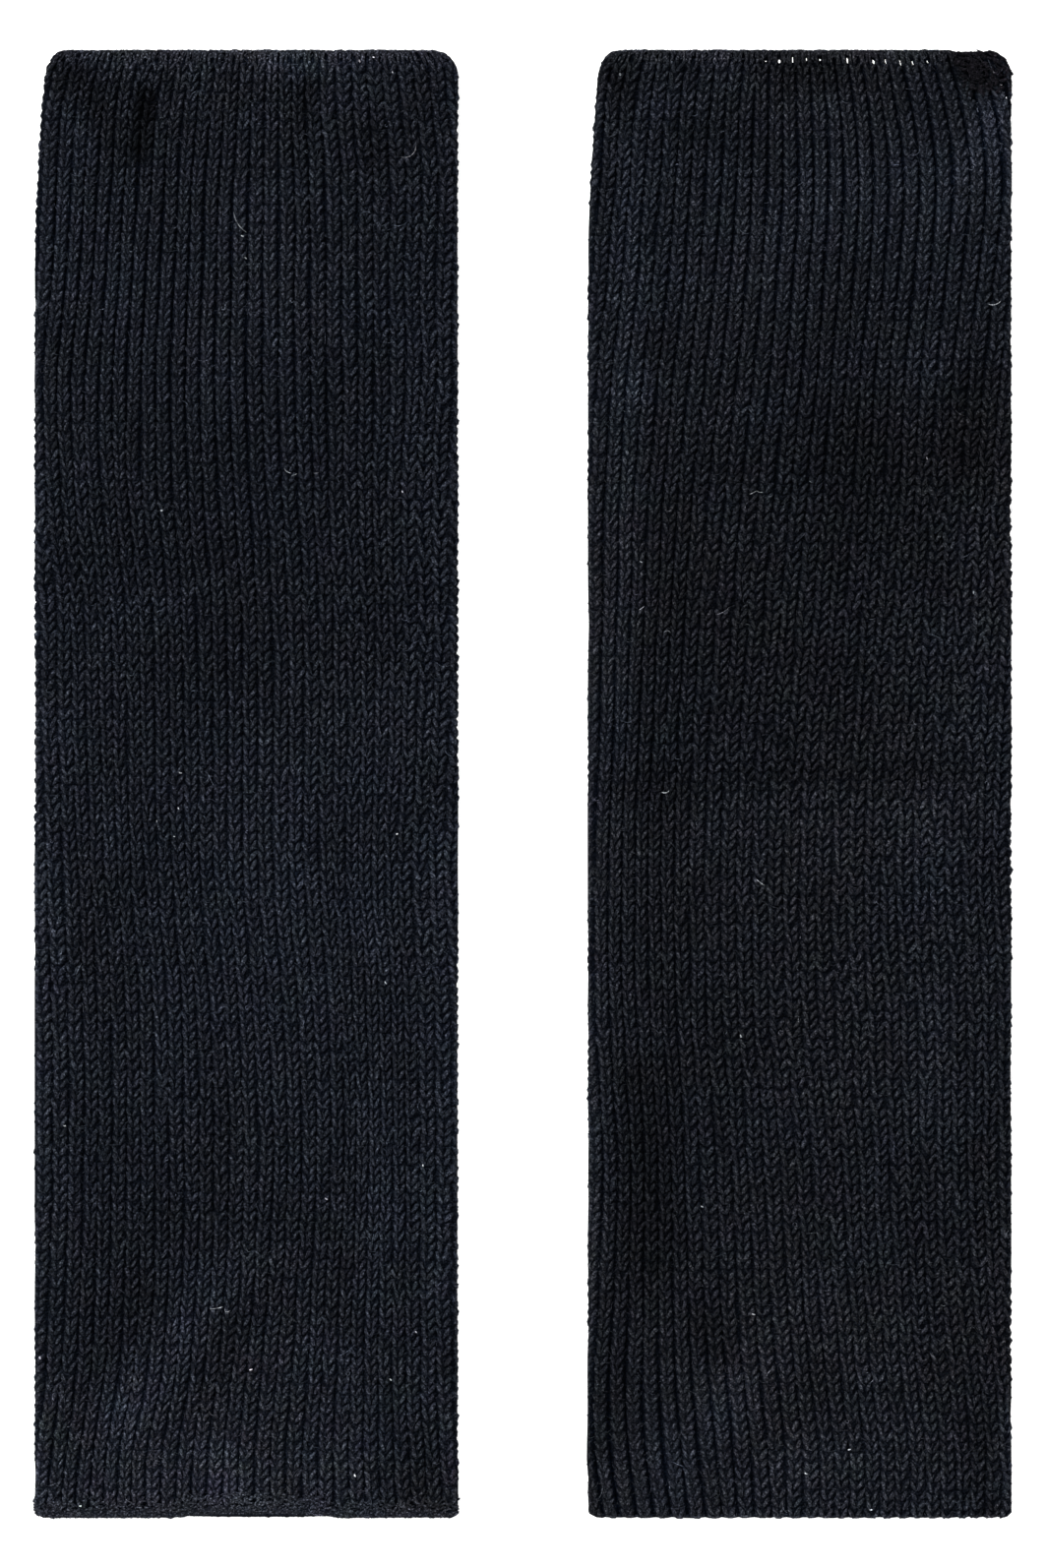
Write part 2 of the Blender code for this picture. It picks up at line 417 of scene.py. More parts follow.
@dataclass
class LaidLeg:
    """One leg's laid form, which every piece of it is placed on."""

    name: str
    centre: float
    wanders: tuple[Wander, ...]
    openings: tuple[Opening, ...]
    folds: tuple[Fold, ...]
    dips: tuple[EdgeDip, ...]
    slots: tuple[Slot, ...]
    corners: tuple[TurnedCorner, ...]
    lint: tuple[Lint, ...]
    warmths: tuple[Warmth, ...]
    seed: int
    hem: HemStyle
    knit_end: float
    rng: np.random.Generator = field(init=False)
    row_waves: Values = field(init=False)
    wale_waves: Values = field(init=False)
    cloth_waves: Values = field(init=False)

    def __post_init__(self) -> None:
        """Chooses the slow waves of the rows, the wales and the cloth."""
        self.rng = np.random.default_rng(self.seed)
        self.row_waves = smooth_waves(self.rng, *TUBE.row_waves)
        self.wale_waves = smooth_waves(self.rng, *TUBE.wale_waves)
        self.cloth_waves = smooth_waves(self.rng, *TUBE.cloth_waves)

    def stray(self, size: float, count: int) -> Values:
        """Draws one chance offset for each of a number of strands."""
        return self.rng.normal(0.0, size, (count, 1))

    @property
    def palette(self) -> "Palette":
        """The finishes of its yarn."""
        return PALETTES[self.name]

    @property
    def course(self) -> float:
        """Height of one course of stitches."""
        return (self.knit_end - TUBE.top_edge_depth) / TUBE.courses

    def sides(self, down: Values) -> tuple[Values, Values]:
        """Where the left and the right side are, as if the corners were square.

        Args:
            down: Places down the leg.

        Returns:
            The left and the right side's place across.
        """
        taper = TUBE.taper * (1.0 - np.clip(down / TUBE.taper_length, 0.0, 1.0)) ** 2
        return taper - TUBE.width / 2, np.full(np.shape(down), TUBE.width / 2)

    def drawn_in(self, across: Values, down: Values) -> Values:
        """Draws places near the sides in, where the corners are rounded.

        Args:
            across: Places across, as if the corners were square.
            down: Places down, of the same shape.

        Returns:
            The places across.
        """
        left, right = self.sides(down)
        hem = TUBE.lower.inset(TUBE.length - down)
        near_left = np.clip(1.0 - (across - left) / TUBE.corner_reach, 0.0, 1.0)
        near_right = np.clip(1.0 - (right - across) / TUBE.corner_reach, 0.0, 1.0)
        across = across + (TUBE.upper_left.inset(down) + hem) * near_left
        return across - (TUBE.upper_right.inset(down) + hem) * near_right

    def half_round(self, down: Values) -> Values:
        """Measures the way from the left side to the right one over a layer.

        Args:
            down: Places down the leg.

        Returns:
            The distance at each place.
        """
        left, right = self.sides(down)
        height = TUBE.upper_face - TUBE.lower_face
        return right - left - 2 * TUBE.rib_rise - height + math.pi * height / 2

    def pitch(self, down: Values) -> Values:
        """The distance between two wales."""
        return self.half_round(down) / TUBE.face_wales

    def drift(self, wale: Values, down: Values) -> Values:
        """How far the cloth has moved round the tube from an even spread.

        Args:
            wale: Places round the tube.
            down: Places down the leg, of the same shape.

        Returns:
            The drift at each place.
        """
        rows, *drifts = by_column(self.wanders)
        drifts = smooth_between(rows, np.stack(drifts, axis=1), down)
        drifts = np.concatenate([drifts, drifts[..., :1]], axis=-1)
        stops = np.array(TUBE.wander_wales) - TUBE.wander_wales[0]
        place = np.mod(wale - TUBE.wander_wales[0], TUBE.wales)
        first = np.clip(np.searchsorted(stops, place) - 1, 0, len(stops) - 2)
        share = (place - stops[first]) / (stops[first + 1] - stops[first])
        start = np.take_along_axis(drifts, first[..., None], -1)[..., 0]
        end = np.take_along_axis(drifts, first[..., None] + 1, -1)[..., 0]
        return start + (end - start) * share

    def opening(self, wale: Values, down: Values) -> Values:
        """How open the grooves between wales are: 0 shut, 1 open.

        Args:
            wale: Places round the tube.
            down: Places down the leg, of the same shape.

        Returns:
            The openness at each place.
        """
        rows, *sides = by_column(self.openings)
        left, middle, right = (np.interp(down, rows, side) for side in sides)
        side = np.clip(2.0 * wale / TUBE.face_wales - 1.0, -1.0, 1.0)
        to_right = np.maximum(side, 0) * (right - middle)
        return middle + to_right - np.minimum(side, 0) * (left - middle)

    def relief(self, across: Values, down: Values) -> Values:
        """The upper layer's height over its laid height.

        Args:
            across: Places across.
            down: Places down, of the same shape.

        Returns:
            The height of all folds and slow waves together.
        """
        total = TUBE.cloth_rise * wave_height(self.cloth_waves, across, down)
        for fold in self.folds:
            run_across = fold.to_across - fold.from_across
            run_down = fold.to_down - fold.from_down
            off_across = across - fold.from_across
            off_down = down - fold.from_down
            along = off_across * run_across + off_down * run_down
            along = np.clip(along / (run_across**2 + run_down**2), 0.0, 1.0)
            away = np.hypot(off_across - along * run_across, off_down - along * run_down)
            share = np.clip(away / fold.reach, 0.0, 1.0)
            total += fold.rise * (1.0 - share * share) ** 2
        return total

    def fold_light_and_shade_at(self, points: Values) -> Values:
        """The relief under points of the upper layer, for painting light on ridges and shade in
        troughs. Unlike the form, it is not cut at the deepest trough.

        Args:
            points: Points in metres, three numbers each.

        Returns:
            The relief in millimetres, and nothing on the lower layer.
        """
        across = points[:, 0] / MM - self.centre
        down = TUBE.length / 2 - points[:, 1] / MM
        upper = np.clip(points[:, 2] / MM / TUBE.lower_face - TUBE.shaded_from, 0.0, 1.0)
        return self.relief(across, down) * upper

    def warmth_at(self, points: Values) -> Values:
        """Finds how much of the yarn's second shade there is.

        Args:
            points: Points in metres, three numbers each.

        Returns:
            The share of the second shade at each point.
        """
        rows, shares = by_column(self.warmths)
        return np.interp(TUBE.length / 2 - points[:, 1] / MM, rows, shares)

    def dipped(self, across: Values, down: Values, below: Values) -> Values:
        """Moves places near a dipped edge away from the leg's end.

        Args:
            across: Places across.
            down: Places down, as if the edges were straight.
            below: Whether each place is on the lower layer.

        Returns:
            The places down with the edges' dips in them.
        """
        moved = down.copy()
        for dip in self.dips:
            depth = dip.depth_at(across) * (below == (dip.layer is Layer.LOWER))
            from_end = down if dip.end is LegEnd.TOP else TUBE.length - down
            fade = np.clip(1.0 - from_end / TUBE.dip_fade, 0.0, 1.0) ** 2
            moved += depth * fade * (1.0 if dip.end is LegEnd.TOP else -1.0)
        return moved

    def across_at(self, wale: Values, down: Values) -> Values:
        """Finds where places of the upper layer are across.

        Args:
            wale: Places round the tube.
            down: Places down, of the same shape.

        Returns:
            The places across.
        """
        left, right = self.sides(down)
        slack = (right - left - self.half_round(down)) / 2
        across = left + slack + wale * self.pitch(down) + self.drift(wale, down)
        return self.drawn_in(np.clip(across, left, right), down)

    def wales_at(self, across: Values, down: Values) -> Values:
        """Finds places round the tube that lie at places across the upper layer.

        Args:
            across: Places across.
            down: Places down, of the same shape.

        Returns:
            The places in wales.
        """
        left, right = self.sides(down)
        slack = (right - left - self.half_round(down)) / 2
        wale = (across - left - slack) / self.pitch(down)
        for _ in range(TUBE.search_steps):
            wale = (across - left - slack - self.drift(wale, down)) / self.pitch(down)
        return wale

    def place(self, wale: Values, down: Values, out: Values, side_fill: float = 0.0) -> Values:
        """Finds points of the laid tube in the row frame.

        Args:
            wale: Places round the tube, in wales.
            down: Places down the leg.
            out: Distances out of the cloth's ground.
            side_fill: How much further out the points are at the tube's sides.

        Returns:
            The points in metres, with one more axis than the places have.
        """
        wale, down, out = np.broadcast_arrays(wale, down, out)
        left, right = self.sides(down)
        radius = (TUBE.upper_face - TUBE.lower_face) / 2
        quarter = math.pi * radius / 2
        left = left + TUBE.rib_rise + radius
        right = right - TUBE.rib_rise - radius
        half = self.half_round(down)
        distance = wale * half / TUBE.face_wales + self.drift(wale, down)
        distance = np.mod(distance, 2 * half)
        below = distance > half
        over = np.where(below, 2 * half - distance, distance)
        left_angle = np.clip(over / radius, 0.0, math.pi / 2)
        right_angle = np.clip((half - over) / radius, 0.0, math.pi / 2)
        out_across = np.cos(right_angle) - np.cos(left_angle)
        out_up = np.where(over < half / 2, np.sin(left_angle), np.sin(right_angle))
        centre = np.clip(left + over - quarter, left, right)
        across = centre + radius * out_across
        flat = out_up
        out_up = np.where(below, -out_up, out_up)
        height = TUBE.lower_face + radius * (1.0 + out_up)
        rise = np.clip(height / TUBE.upper_face, 0.0, 1.0)
        relief = np.maximum(self.relief(across, down), -TUBE.deepest)
        height = height + np.where(below, 0.0, relief * rise)
        pressed = np.where(below, 1.0 - (1.0 - TUBE.lower_squash) * flat, 1.0)
        out = out + (side_fill + TUBE.side_rise) * out_across**2
        across = self.drawn_in(across + out * pressed * out_across, down)
        height = np.maximum(height + out * pressed * out_up, TUBE.floor_gap)
        forward = TUBE.length / 2 - self.dipped(across, down, below)
        return np.stack([(across + self.centre) * MM, forward * MM, height * MM], axis=-1)

    def slotted(self, wale: Values, down: Values) -> Values:
        """Finds which places are on the stretch of edge that has slots.

        Args:
            wale: Places round the tube.
            down: Places down, of the same shape.

        Returns:
            Whether each place is on it.
        """
        if not self.slots:
            return np.zeros(wale.shape, dtype=bool)
        across = self.across_at(wale, down)
        first = self.slots[0].across - TUBE.slot_margin
        last = self.slots[-1].across + TUBE.slot_margin
        return (wale > 0) & (wale < TUBE.face_wales) & (across > first) & (across < last)

    def clear_of_slots(self, wale: Values, down: Values) -> Values:
        """Moves places that would cover a slot down, until they are under it.

        Args:
            wale: Places round the tube.
            down: Places down, of the same shape.

        Returns:
            The places down.
        """
        across = self.across_at(wale, down)
        upper = (wale > 0) & (wale < TUBE.face_wales)
        for slot in self.slots:
            near = upper & (np.abs(across - slot.across) < slot.width / 2 + TUBE.slot_side)
            under = slot.down + slot.height / 2 + TUBE.slot_under
            down = np.where(near, np.maximum(down, under), down)
        return down

    def turned(self, wale: Values, down: Values) -> Values:
        """Finds which places of the upper layer are on a turned corner.

        Args:
            wale: Places round the tube.
            down: Places down, of the same shape.

        Returns:
            Whether each place is on one.
        """
        on_top = (wale > 0) & (wale < TUBE.face_wales)
        across = self.across_at(wale, down)
        found = np.zeros(on_top.shape, dtype=bool)
        for corner in self.corners:
            found |= corner.holds(across, down)
        return found & on_top

    def row_shift(self, wale: Values, down: Values) -> Values:
        """How far a row of stitches waves up and down."""
        return TUBE.row_sway * wave_height(self.row_waves, wale * TUBE.wale_width, down)

    def wale_shift(self, wale: Values, down: Values) -> Values:
        """How far a wale sways from its straight course, in wales."""
        return TUBE.wale_sway * wave_height(self.wale_waves, wale * TUBE.wale_sway_pace, down)


@dataclass
class Strands:
    """Yarn strands: one row for each strand, and one column for each station along it."""

    wale: Values
    down: Values
    out: Values
    radius: Values
    # How far each point is out of the hollows; below 1 the material paints shade.
    crest: Values
    tone: Values

    def __post_init__(self) -> None:
        """Spreads what all strands or stations share to every one of them."""
        self.wale, self.down, self.out, self.radius, self.crest = np.broadcast_arrays(
            self.wale, self.down, self.out, self.radius, self.crest
        )


def grid_faces(rows: int, columns: int, closed: bool) -> Values:
    """Numbers the four-sided faces of a grid of points.

    Args:
        rows: Rows of points.
        columns: Points in a row.
        closed: Whether each row closes on itself.

    Returns:
        Four point numbers for each face, turned so that the face looks out.
    """
    row = np.arange(rows - 1)[:, None] * columns
    column = np.arange(columns if closed else columns - 1)[None, :]
    after = (column + 1) % columns
    corners = (row + column, row + columns + column, row + columns + after, row + after)
    return np.stack(corners, axis=-1).reshape(-1, 4)


def make_object(name: str, points: Values, faces: Values) -> Piece:
    """Makes a smooth mesh object.

    Args:
        name: The piece's name.
        points: Points in metres, three numbers each.
        faces: Four point numbers for each face.

    Returns:
        The new object, in the scene.
    """
    mesh = bpy.data.meshes.new(name)
    mesh.vertices.add(len(points))
    mesh.vertices.foreach_set("co", points.astype(np.float32).ravel())
    mesh.loops.add(faces.size)
    mesh.loops.foreach_set("vertex_index", faces.astype(np.int32).ravel())
    mesh.polygons.add(len(faces))
    mesh.polygons.foreach_set("loop_start", np.arange(0, faces.size, 4, dtype=np.int32))
    mesh.update(calc_edges=True)
    mesh.validate()
    mesh.shade_smooth()
    piece = bpy.data.objects.new(name, mesh)
    bpy.context.scene.collection.objects.link(piece)
    return piece


def add_map(piece: Piece, places: Values) -> None:
    """Adds a UV map from two numbers for each point.

    Args:
        piece: The object.
        places: Two numbers for each of its points.
    """
    mesh = piece.data
    corners = np.empty(len(mesh.loops), dtype=np.int32)
    mesh.loops.foreach_get("vertex_index", corners)
    layer = mesh.uv_layers.new(name="yarn")
    layer.data.foreach_set("uv", places[corners].astype(np.float32).ravel())


def add_values(piece: Piece, name: str, values: Values) -> None:
    """Adds one named number for each point.

    Args:
        piece: The object.
        name: The attribute's name.
        values: A number for each point.
    """
    attribute = piece.data.attributes.new(name, "FLOAT", "POINT")
    attribute.data.foreach_set("value", values.astype(np.float32).ravel())


def add_shading(
    piece: Piece, leg: LaidLeg, points: Values, crest: Values, tone: Values
) -> None:
    """Adds what the yarn's look needs at each point, with the values that its painted light and
    shade come from.

    Args:
        piece: The object.
        leg: The leg that it lies on.
        points: Its points in metres, three numbers each.
        crest: How far each point is out of the hollows, from 0 to 1; below 1 it gets painted
            shade.
        tone: How light its yarn is, from -1 to 1.
    """
    add_values(piece, "crest", crest)
    add_values(piece, "tone", tone)
    # The fold relief, which the material turns into painted light on ridges and painted shade in
    # troughs.
    add_values(piece, "fold", leg.fold_light_and_shade_at(points))
    add_values(piece, "warmth", leg.warmth_at(points))


@dataclass(frozen=True)
class Tangle:
    """Short arcs of yarn that cross each other at random.

    They lie across the leg, or turned from that by their lie, and scatter about it by
    some more. Both are in radians. Their tips droop and thin out, and get painted shade where they
    dip.
    """

    shortest: float
    longest: float
    arch: float
    radius: float
    stations: int = 4
    lie: float = 0.0
    scatter: float = 0.6
    end_room: float = 0.2
    droop: float = 0.4
    thinning: float = 0.45
    tip_shade: float = 0.65
    uneven: float = 0.15

    def strands(self, leg: LaidLeg, wale: Values, down: Values, out: Values) -> Strands:
        """Lays out an arc at each place.

        Args:
            leg: The leg that they lie on.
            wale: The arcs' middles round the tube.
            down: Their middles down the leg.
            out: Their middles' distances out.

        Returns:
            One strand for each arc.
        """
        rng = leg.rng
        wale, down, out = wale[:, None], down[:, None], out[:, None]
        share = np.linspace(-1.0, 1.0, self.stations)
        turn = rng.normal(self.lie, self.scatter, wale.shape)
        half = rng.uniform(self.shortest, self.longest, wale.shape) / 2
        arch = rng.normal(0.0, self.arch, wale.shape) * (1.0 - share**2)
        places = wale + (np.cos(turn) * half * share - np.sin(turn) * arch) / leg.pitch(down)
        downs = down + np.sin(turn) * half * share + np.cos(turn) * arch
        edge = self.radius + self.end_room
        downs = np.clip(downs, edge, TUBE.length - edge)
        outs = out - self.droop * share**2 + rng.normal(0.0, self.uneven, wale.shape)
        radius = self.radius * (1.0 - self.thinning * share**2)
        radius = radius * (1.0 + rng.normal(0.0, self.uneven, wale.shape))
        crest = 1.0 - self.tip_shade * share**2
        return Strands(places, downs, outs, radius, crest, rng.uniform(-1.0, 1.0, len(wale)))


def set_inputs(node: bpy.types.Node, values: dict[str, object]) -> None:
    """Sets a node's own sockets.

    Args:
        node: The node.
        values: A value for each socket's name.
    """
    for name, value in values.items():
        node.inputs[name].default_value = value


@dataclass(frozen=True)
class YarnFinish:
    """The look of the spun yarn in one place."""

    name: str
    colour: Colour
    second: Colour
    # The colour painted into the yarn's hollows as their shade.
    hollow_shade: Colour
    fibre: Colour
    fibre_share: float = 0.5
    twist: float = 3.4
    bump: float = 0.8
    sheen: float = 0.05
    bump_depth: float = 0.2
    specular: float = 0.01
    sheen_roughness: float = 0.45
    sheen_tint: Colour = (0.40, 0.42, 0.48)

    def material(self) -> bpy.types.Material:
        """Builds the material.

        Returns:
            A matt yarn with plies, fibres, painted shade in its hollows, painted light and shade
            over folds, and a faint sheen.
        """
        made = bpy.data.materials.new(self.name)
        made.use_nodes = True
        nodes, links = made.node_tree.nodes, made.node_tree.links
        shader = nodes["Principled BSDF"]
        gloss = {
            "Specular IOR Level": self.specular,
            "Sheen Weight": self.sheen,
            "Sheen Roughness": self.sheen_roughness,
            "Sheen Tint": (*self.sheen_tint, 1.0),
        }
        look = {
            "Colour": (*self.colour, 1.0),
            "Second Colour": (*self.second, 1.0),
            "Hollow Shade Colour": (*self.hollow_shade, 1.0),
            "Fibre Colour": (*self.fibre, 1.0),
            "Fibre Share": self.fibre_share,
            "Twist": self.twist,
        }
        set_inputs(shader, gloss)
        yarn = nodes.new("ShaderNodeGroup")
        yarn.node_tree = spun_yarn()
        set_inputs(yarn, look)
        bump = nodes.new("ShaderNodeBump")
        set_inputs(bump, {"Strength": self.bump, "Distance": self.bump_depth * MM})
        links.new(yarn.outputs["Colour"], shader.inputs["Base Color"])
        links.new(yarn.outputs["Roughness"], shader.inputs["Roughness"])
        links.new(yarn.outputs["Height"], bump.inputs["Height"])
        links.new(bump.outputs["Normal"], shader.inputs["Normal"])
        return made


@dataclass
class GroupBuilder:
    """A short way to lay nodes in a shader node group."""

    name: str

    def __post_init__(self) -> None:
        """Starts an empty group."""
        self.tree = bpy.data.node_groups.new(self.name, "ShaderNodeTree")
        self.inputs = self.tree.nodes.new("NodeGroupInput")
        self.outputs = self.tree.nodes.new("NodeGroupOutput")

    def take(self, name: str, kind: str) -> None:
        """Adds a named input socket."""
        self.tree.interface.new_socket(name, in_out="INPUT", socket_type=kind)

    def give(self, name: str, kind: str, source: Socket) -> None:
        """Adds a named output socket that a node feeds."""
        self.tree.interface.new_socket(name, in_out="OUTPUT", socket_type=kind)
        self.tree.links.new(source, self.outputs.inputs[name])

    def value(self, name: str) -> Socket:
        """Reads one of the piece's named numbers."""
        return self.node("ShaderNodeAttribute", attribute_name=name).outputs["Fac"]

    def join(self, value: object, socket: Socket) -> None:
        """Feeds a socket from another one, or sets its value.

        Args:
            value: The socket that feeds it, or a plain value.
            socket: The socket.
        """
        if isinstance(value, Socket):
            self.tree.links.new(value, socket)
        else:
            socket.default_value = value

    def node(self, kind: str, **settings: object) -> bpy.types.Node:
        """Adds a node and sets its own properties.

        Args:
            kind: Blender's name for the kind of node.
            settings: Its properties by name.

        Returns:
            The node.
        """
        made = self.tree.nodes.new(kind)
        for name, value in settings.items():
            setattr(made, name, value)
        return made

    def math(self, operation: str, *values: object) -> Socket:
        """Adds a math node.

        Args:
            operation: Blender's name for it.
            values: Numbers or sockets, in order.

        Returns:
            The result's socket.
        """
        made = self.node("ShaderNodeMath", operation=operation)
        for value, socket in zip(values, made.inputs):
            self.join(value, socket)
        return made.outputs[0]

    def mix(self, share: object, start: object, end: object, blend: str = "MIX") -> Socket:
        """Mixes two colours.

        Args:
            share: How much of the second one there is.
            start: The first colour.
            end: The second colour.
            blend: Blender's name for the way of mixing.

        Returns:
            The mixed colour's socket.
        """
        made = self.node("ShaderNodeMix", data_type="RGBA", blend_type=blend)
        self.join(share, made.inputs["Factor"])
        self.join(start, made.inputs["A"])
        self.join(end, made.inputs["B"])
        return made.outputs["Result"]

    def noise(self, vector: object, scale: float, detail: float) -> bpy.types.Node:
        """Adds a noise texture.

        Args:
            vector: Where it is read.
            scale: Its scale.
            detail: How many finer layers it has.

        Returns:
            The node.
        """
        made = self.node("ShaderNodeTexNoise")
        self.join(vector, made.inputs["Vector"])
        self.join(scale, made.inputs["Scale"])
        self.join(detail, made.inputs["Detail"])
        return made


@dataclass
class SpunYarn(GroupBuilder):
    """The look that all yarn shares: plies, fibres, specks, flecks and slow drifts of hue and
    tone, with painted shade in the hollows and painted light and shade over folds.

    Each noise has a scale and a detail. A pair of numbers is a factor and what is added.
    """

    name: str = "spun_yarn"
    fibre_pace: float = 0.8
    fibre_wraps: float = 11.0
    fibre_slant: float = -1.4
    fibre_spread: float = 9.0
    fibre_noise: Pair = (1.7, 2.0)
    speck_noise: Pair = (2000.0, 2.0)
    cloud_noise: Pair = (30.0, 2.0)
    hue_noise: Pair = (17.0, 3.0)
    fleck_noise: Pair = (110.0, 1.0)
    noise_span: Pair = (0.34, 0.66)
    # How the painted shade of the hollows falls off towards the crests.
    hollow_shade_power: float = 1.4
    hue_drift: Pair = (0.7, -0.35)
    # How far troughs drift towards the second colour, a painted tint of their shade.
    fold_shade_tint: float = -0.2
    fleck_share: Pair = (0.15, 0.11)
    fuzz_power: float = 3.0
    speck_light: Pair = (1.7, 0.14)
    fibre_light: float = 0.62
    ply_light: float = 0.08
    # How strongly the fold relief paints light on ridges and shade in troughs.
    fold_painted_light: float = 0.55
    tone_light: Pair = (0.32, 1.0)
    cloud_light: Pair = (0.16, 0.92)
    roughness: Pair = (0.2, 0.78)
    ply_height: float = 0.25
    fibre_height: float = 0.8
    speck_height: float = 0.9

    def __post_init__(self) -> None:
        """Starts the group with its sockets, and lays what several parts of the look read."""
        super().__post_init__()
        for name in ("Colour", "Second Colour", "Hollow Shade Colour", "Fibre Colour"):
            self.take(name, "NodeSocketColor")
        for name in ("Fibre Share", "Twist"):
            self.take(name, "NodeSocketFloat")
        self.given = self.inputs.outputs
        self.where = self.node("ShaderNodeTexCoord").outputs["Object"]
        parts = self.node("ShaderNodeSeparateXYZ")
        self.join(self.node("ShaderNodeUVMap", uv_map="yarn").outputs["UV"], parts.inputs[0])
        around, along = parts.outputs[0], parts.outputs[1]
        turns = self.math("MULTIPLY", along, self.given["Twist"])
        self.ply = self.math("SINE", self.math("MULTIPLY_ADD", around, math.tau, turns))
        self.specks = self.spanned(self.where, self.speck_noise)
        place = self.node("ShaderNodeCombineXYZ")
        slant = self.math("MULTIPLY", along, self.fibre_slant)
        self.join(self.math("MULTIPLY", along, self.fibre_pace), place.inputs[0])
        self.join(self.math("MULTIPLY_ADD", around, self.fibre_wraps, slant), place.inputs[1])
        self.join(self.math("MULTIPLY", self.value("tone"), self.fibre_spread), place.inputs[2])
        self.fibres = self.spanned(place.outputs[0], self.fibre_noise)

    def spanned(self, where: Socket, noise: Pair) -> Socket:
        """Adds a noise that is stretched to run from 0 to 1.

        Args:
            where: Where it is read.
            noise: Its scale and detail.

        Returns:
            The socket of its value.
        """
        span = self.node("ShaderNodeMapRange")
        self.join(self.noise(where, *noise).outputs["Fac"], span.inputs["Value"])
        set_inputs(span, {"From Min": self.noise_span[0], "From Max": self.noise_span[1]})
        return span.outputs["Result"]

    def colour(self) -> Socket:
        """Mixes the yarn's colour from its two shades and its flecks, with painted shade in its
        hollows and a painted tint of shade in troughs.

        Returns:
            The colour.
        """
        given, warmth = self.given, self.value("warmth")
        hue = self.math("MULTIPLY_ADD", self.spanned(self.where, self.hue_noise), *self.hue_drift)
        shift = self.math("ADD", warmth, hue)
        # Troughs drift towards the second colour, a painted tint of their shade.
        shift = self.math("MULTIPLY_ADD", self.value("fold"), self.fold_shade_tint, shift)
        shift = self.math("MINIMUM", self.math("MAXIMUM", shift, 0.0), 1.0)
        body = self.mix(shift, given["Colour"], given["Second Colour"])
        flecks = self.noise(self.where, *self.fleck_noise).outputs["Color"]
        flecked = self.math("MULTIPLY_ADD", warmth, *self.fleck_share)
        body = self.mix(flecked, body, flecks, "OVERLAY")
        # Painted shade: the hollows take the hollow shade colour.
        shade = self.math("POWER", self.value("crest"), self.hollow_shade_power)
        body = self.mix(shade, given["Hollow Shade Colour"], body)
        fuzz = self.math("MULTIPLY", self.math("POWER", self.specks, self.fuzz_power), self.fibres)
        fuzz = self.math("MULTIPLY", fuzz, self.math("MULTIPLY", given["Fibre Share"], shade))
        return self.mix(fuzz, body, given["Fibre Colour"])

    def light(self) -> Socket:
        """Finds how light the yarn is beside its own colour, with painted light on folds' ridges
        and painted shade in their troughs.

        Returns:
            A grey that the colour is multiplied by.
        """
        squared = self.math("MULTIPLY", self.specks, self.specks)
        light = self.math("MULTIPLY_ADD", squared, *self.speck_light)
        light = self.math("MULTIPLY_ADD", self.fibres, self.fibre_light, light)
        light = self.math("MULTIPLY_ADD", self.ply, self.ply_light, light)
        cloud = self.spanned(self.where, self.cloud_noise)
        factors = (
            # Painted light on ridges and painted shade in troughs, from the fold relief.
            self.math("EXPONENT", self.math("MULTIPLY", self.value("fold"), self.fold_painted_light)),
            self.math("MULTIPLY_ADD", self.value("tone"), *self.tone_light),
            self.math("MULTIPLY_ADD", cloud, *self.cloud_light),
        )
        for factor in factors:
            light = self.math("MULTIPLY", light, factor)
        grey = self.node("ShaderNodeCombineColor")
        for socket in grey.inputs[:3]:
            self.join(light, socket)
        return grey.outputs[0]

    def build(self) -> bpy.types.ShaderNodeTree:
        """Builds the group.

        Returns:
            A group that gives colour, roughness and height from a strand's map and values.
        """
        raised = self.math("MULTIPLY", self.fibres, self.fibre_height)
        raised = self.math("MULTIPLY_ADD", self.ply, self.ply_height, raised)
        raised = self.math("MULTIPLY_ADD", self.specks, self.speck_height, raised)
        rough = self.math("MULTIPLY_ADD", self.fibres, *self.roughness)
        colour = self.mix(1.0, self.colour(), self.light(), "MULTIPLY")
        self.give("Colour", "NodeSocketColor", colour)
        self.give("Roughness", "NodeSocketFloat", rough)
        self.give("Height", "NodeSocketFloat", raised)
        return self.tree


def spun_yarn() -> bpy.types.ShaderNodeTree:
    """Finds the group that all yarn shares, or builds it."""
    return bpy.data.node_groups.get(SpunYarn.name) or SpunYarn().build()


@dataclass(frozen=True)
class Palette:
    """The finishes of one leg."""

    face: YarnFinish
    back: YarnFinish
    ground: YarnFinish
    edge: YarnFinish
    rim: YarnFinish
    hem: YarnFinish
    inner: YarnFinish
    fibre: YarnFinish
    bright_fibre: YarnFinish
    lint: YarnFinish


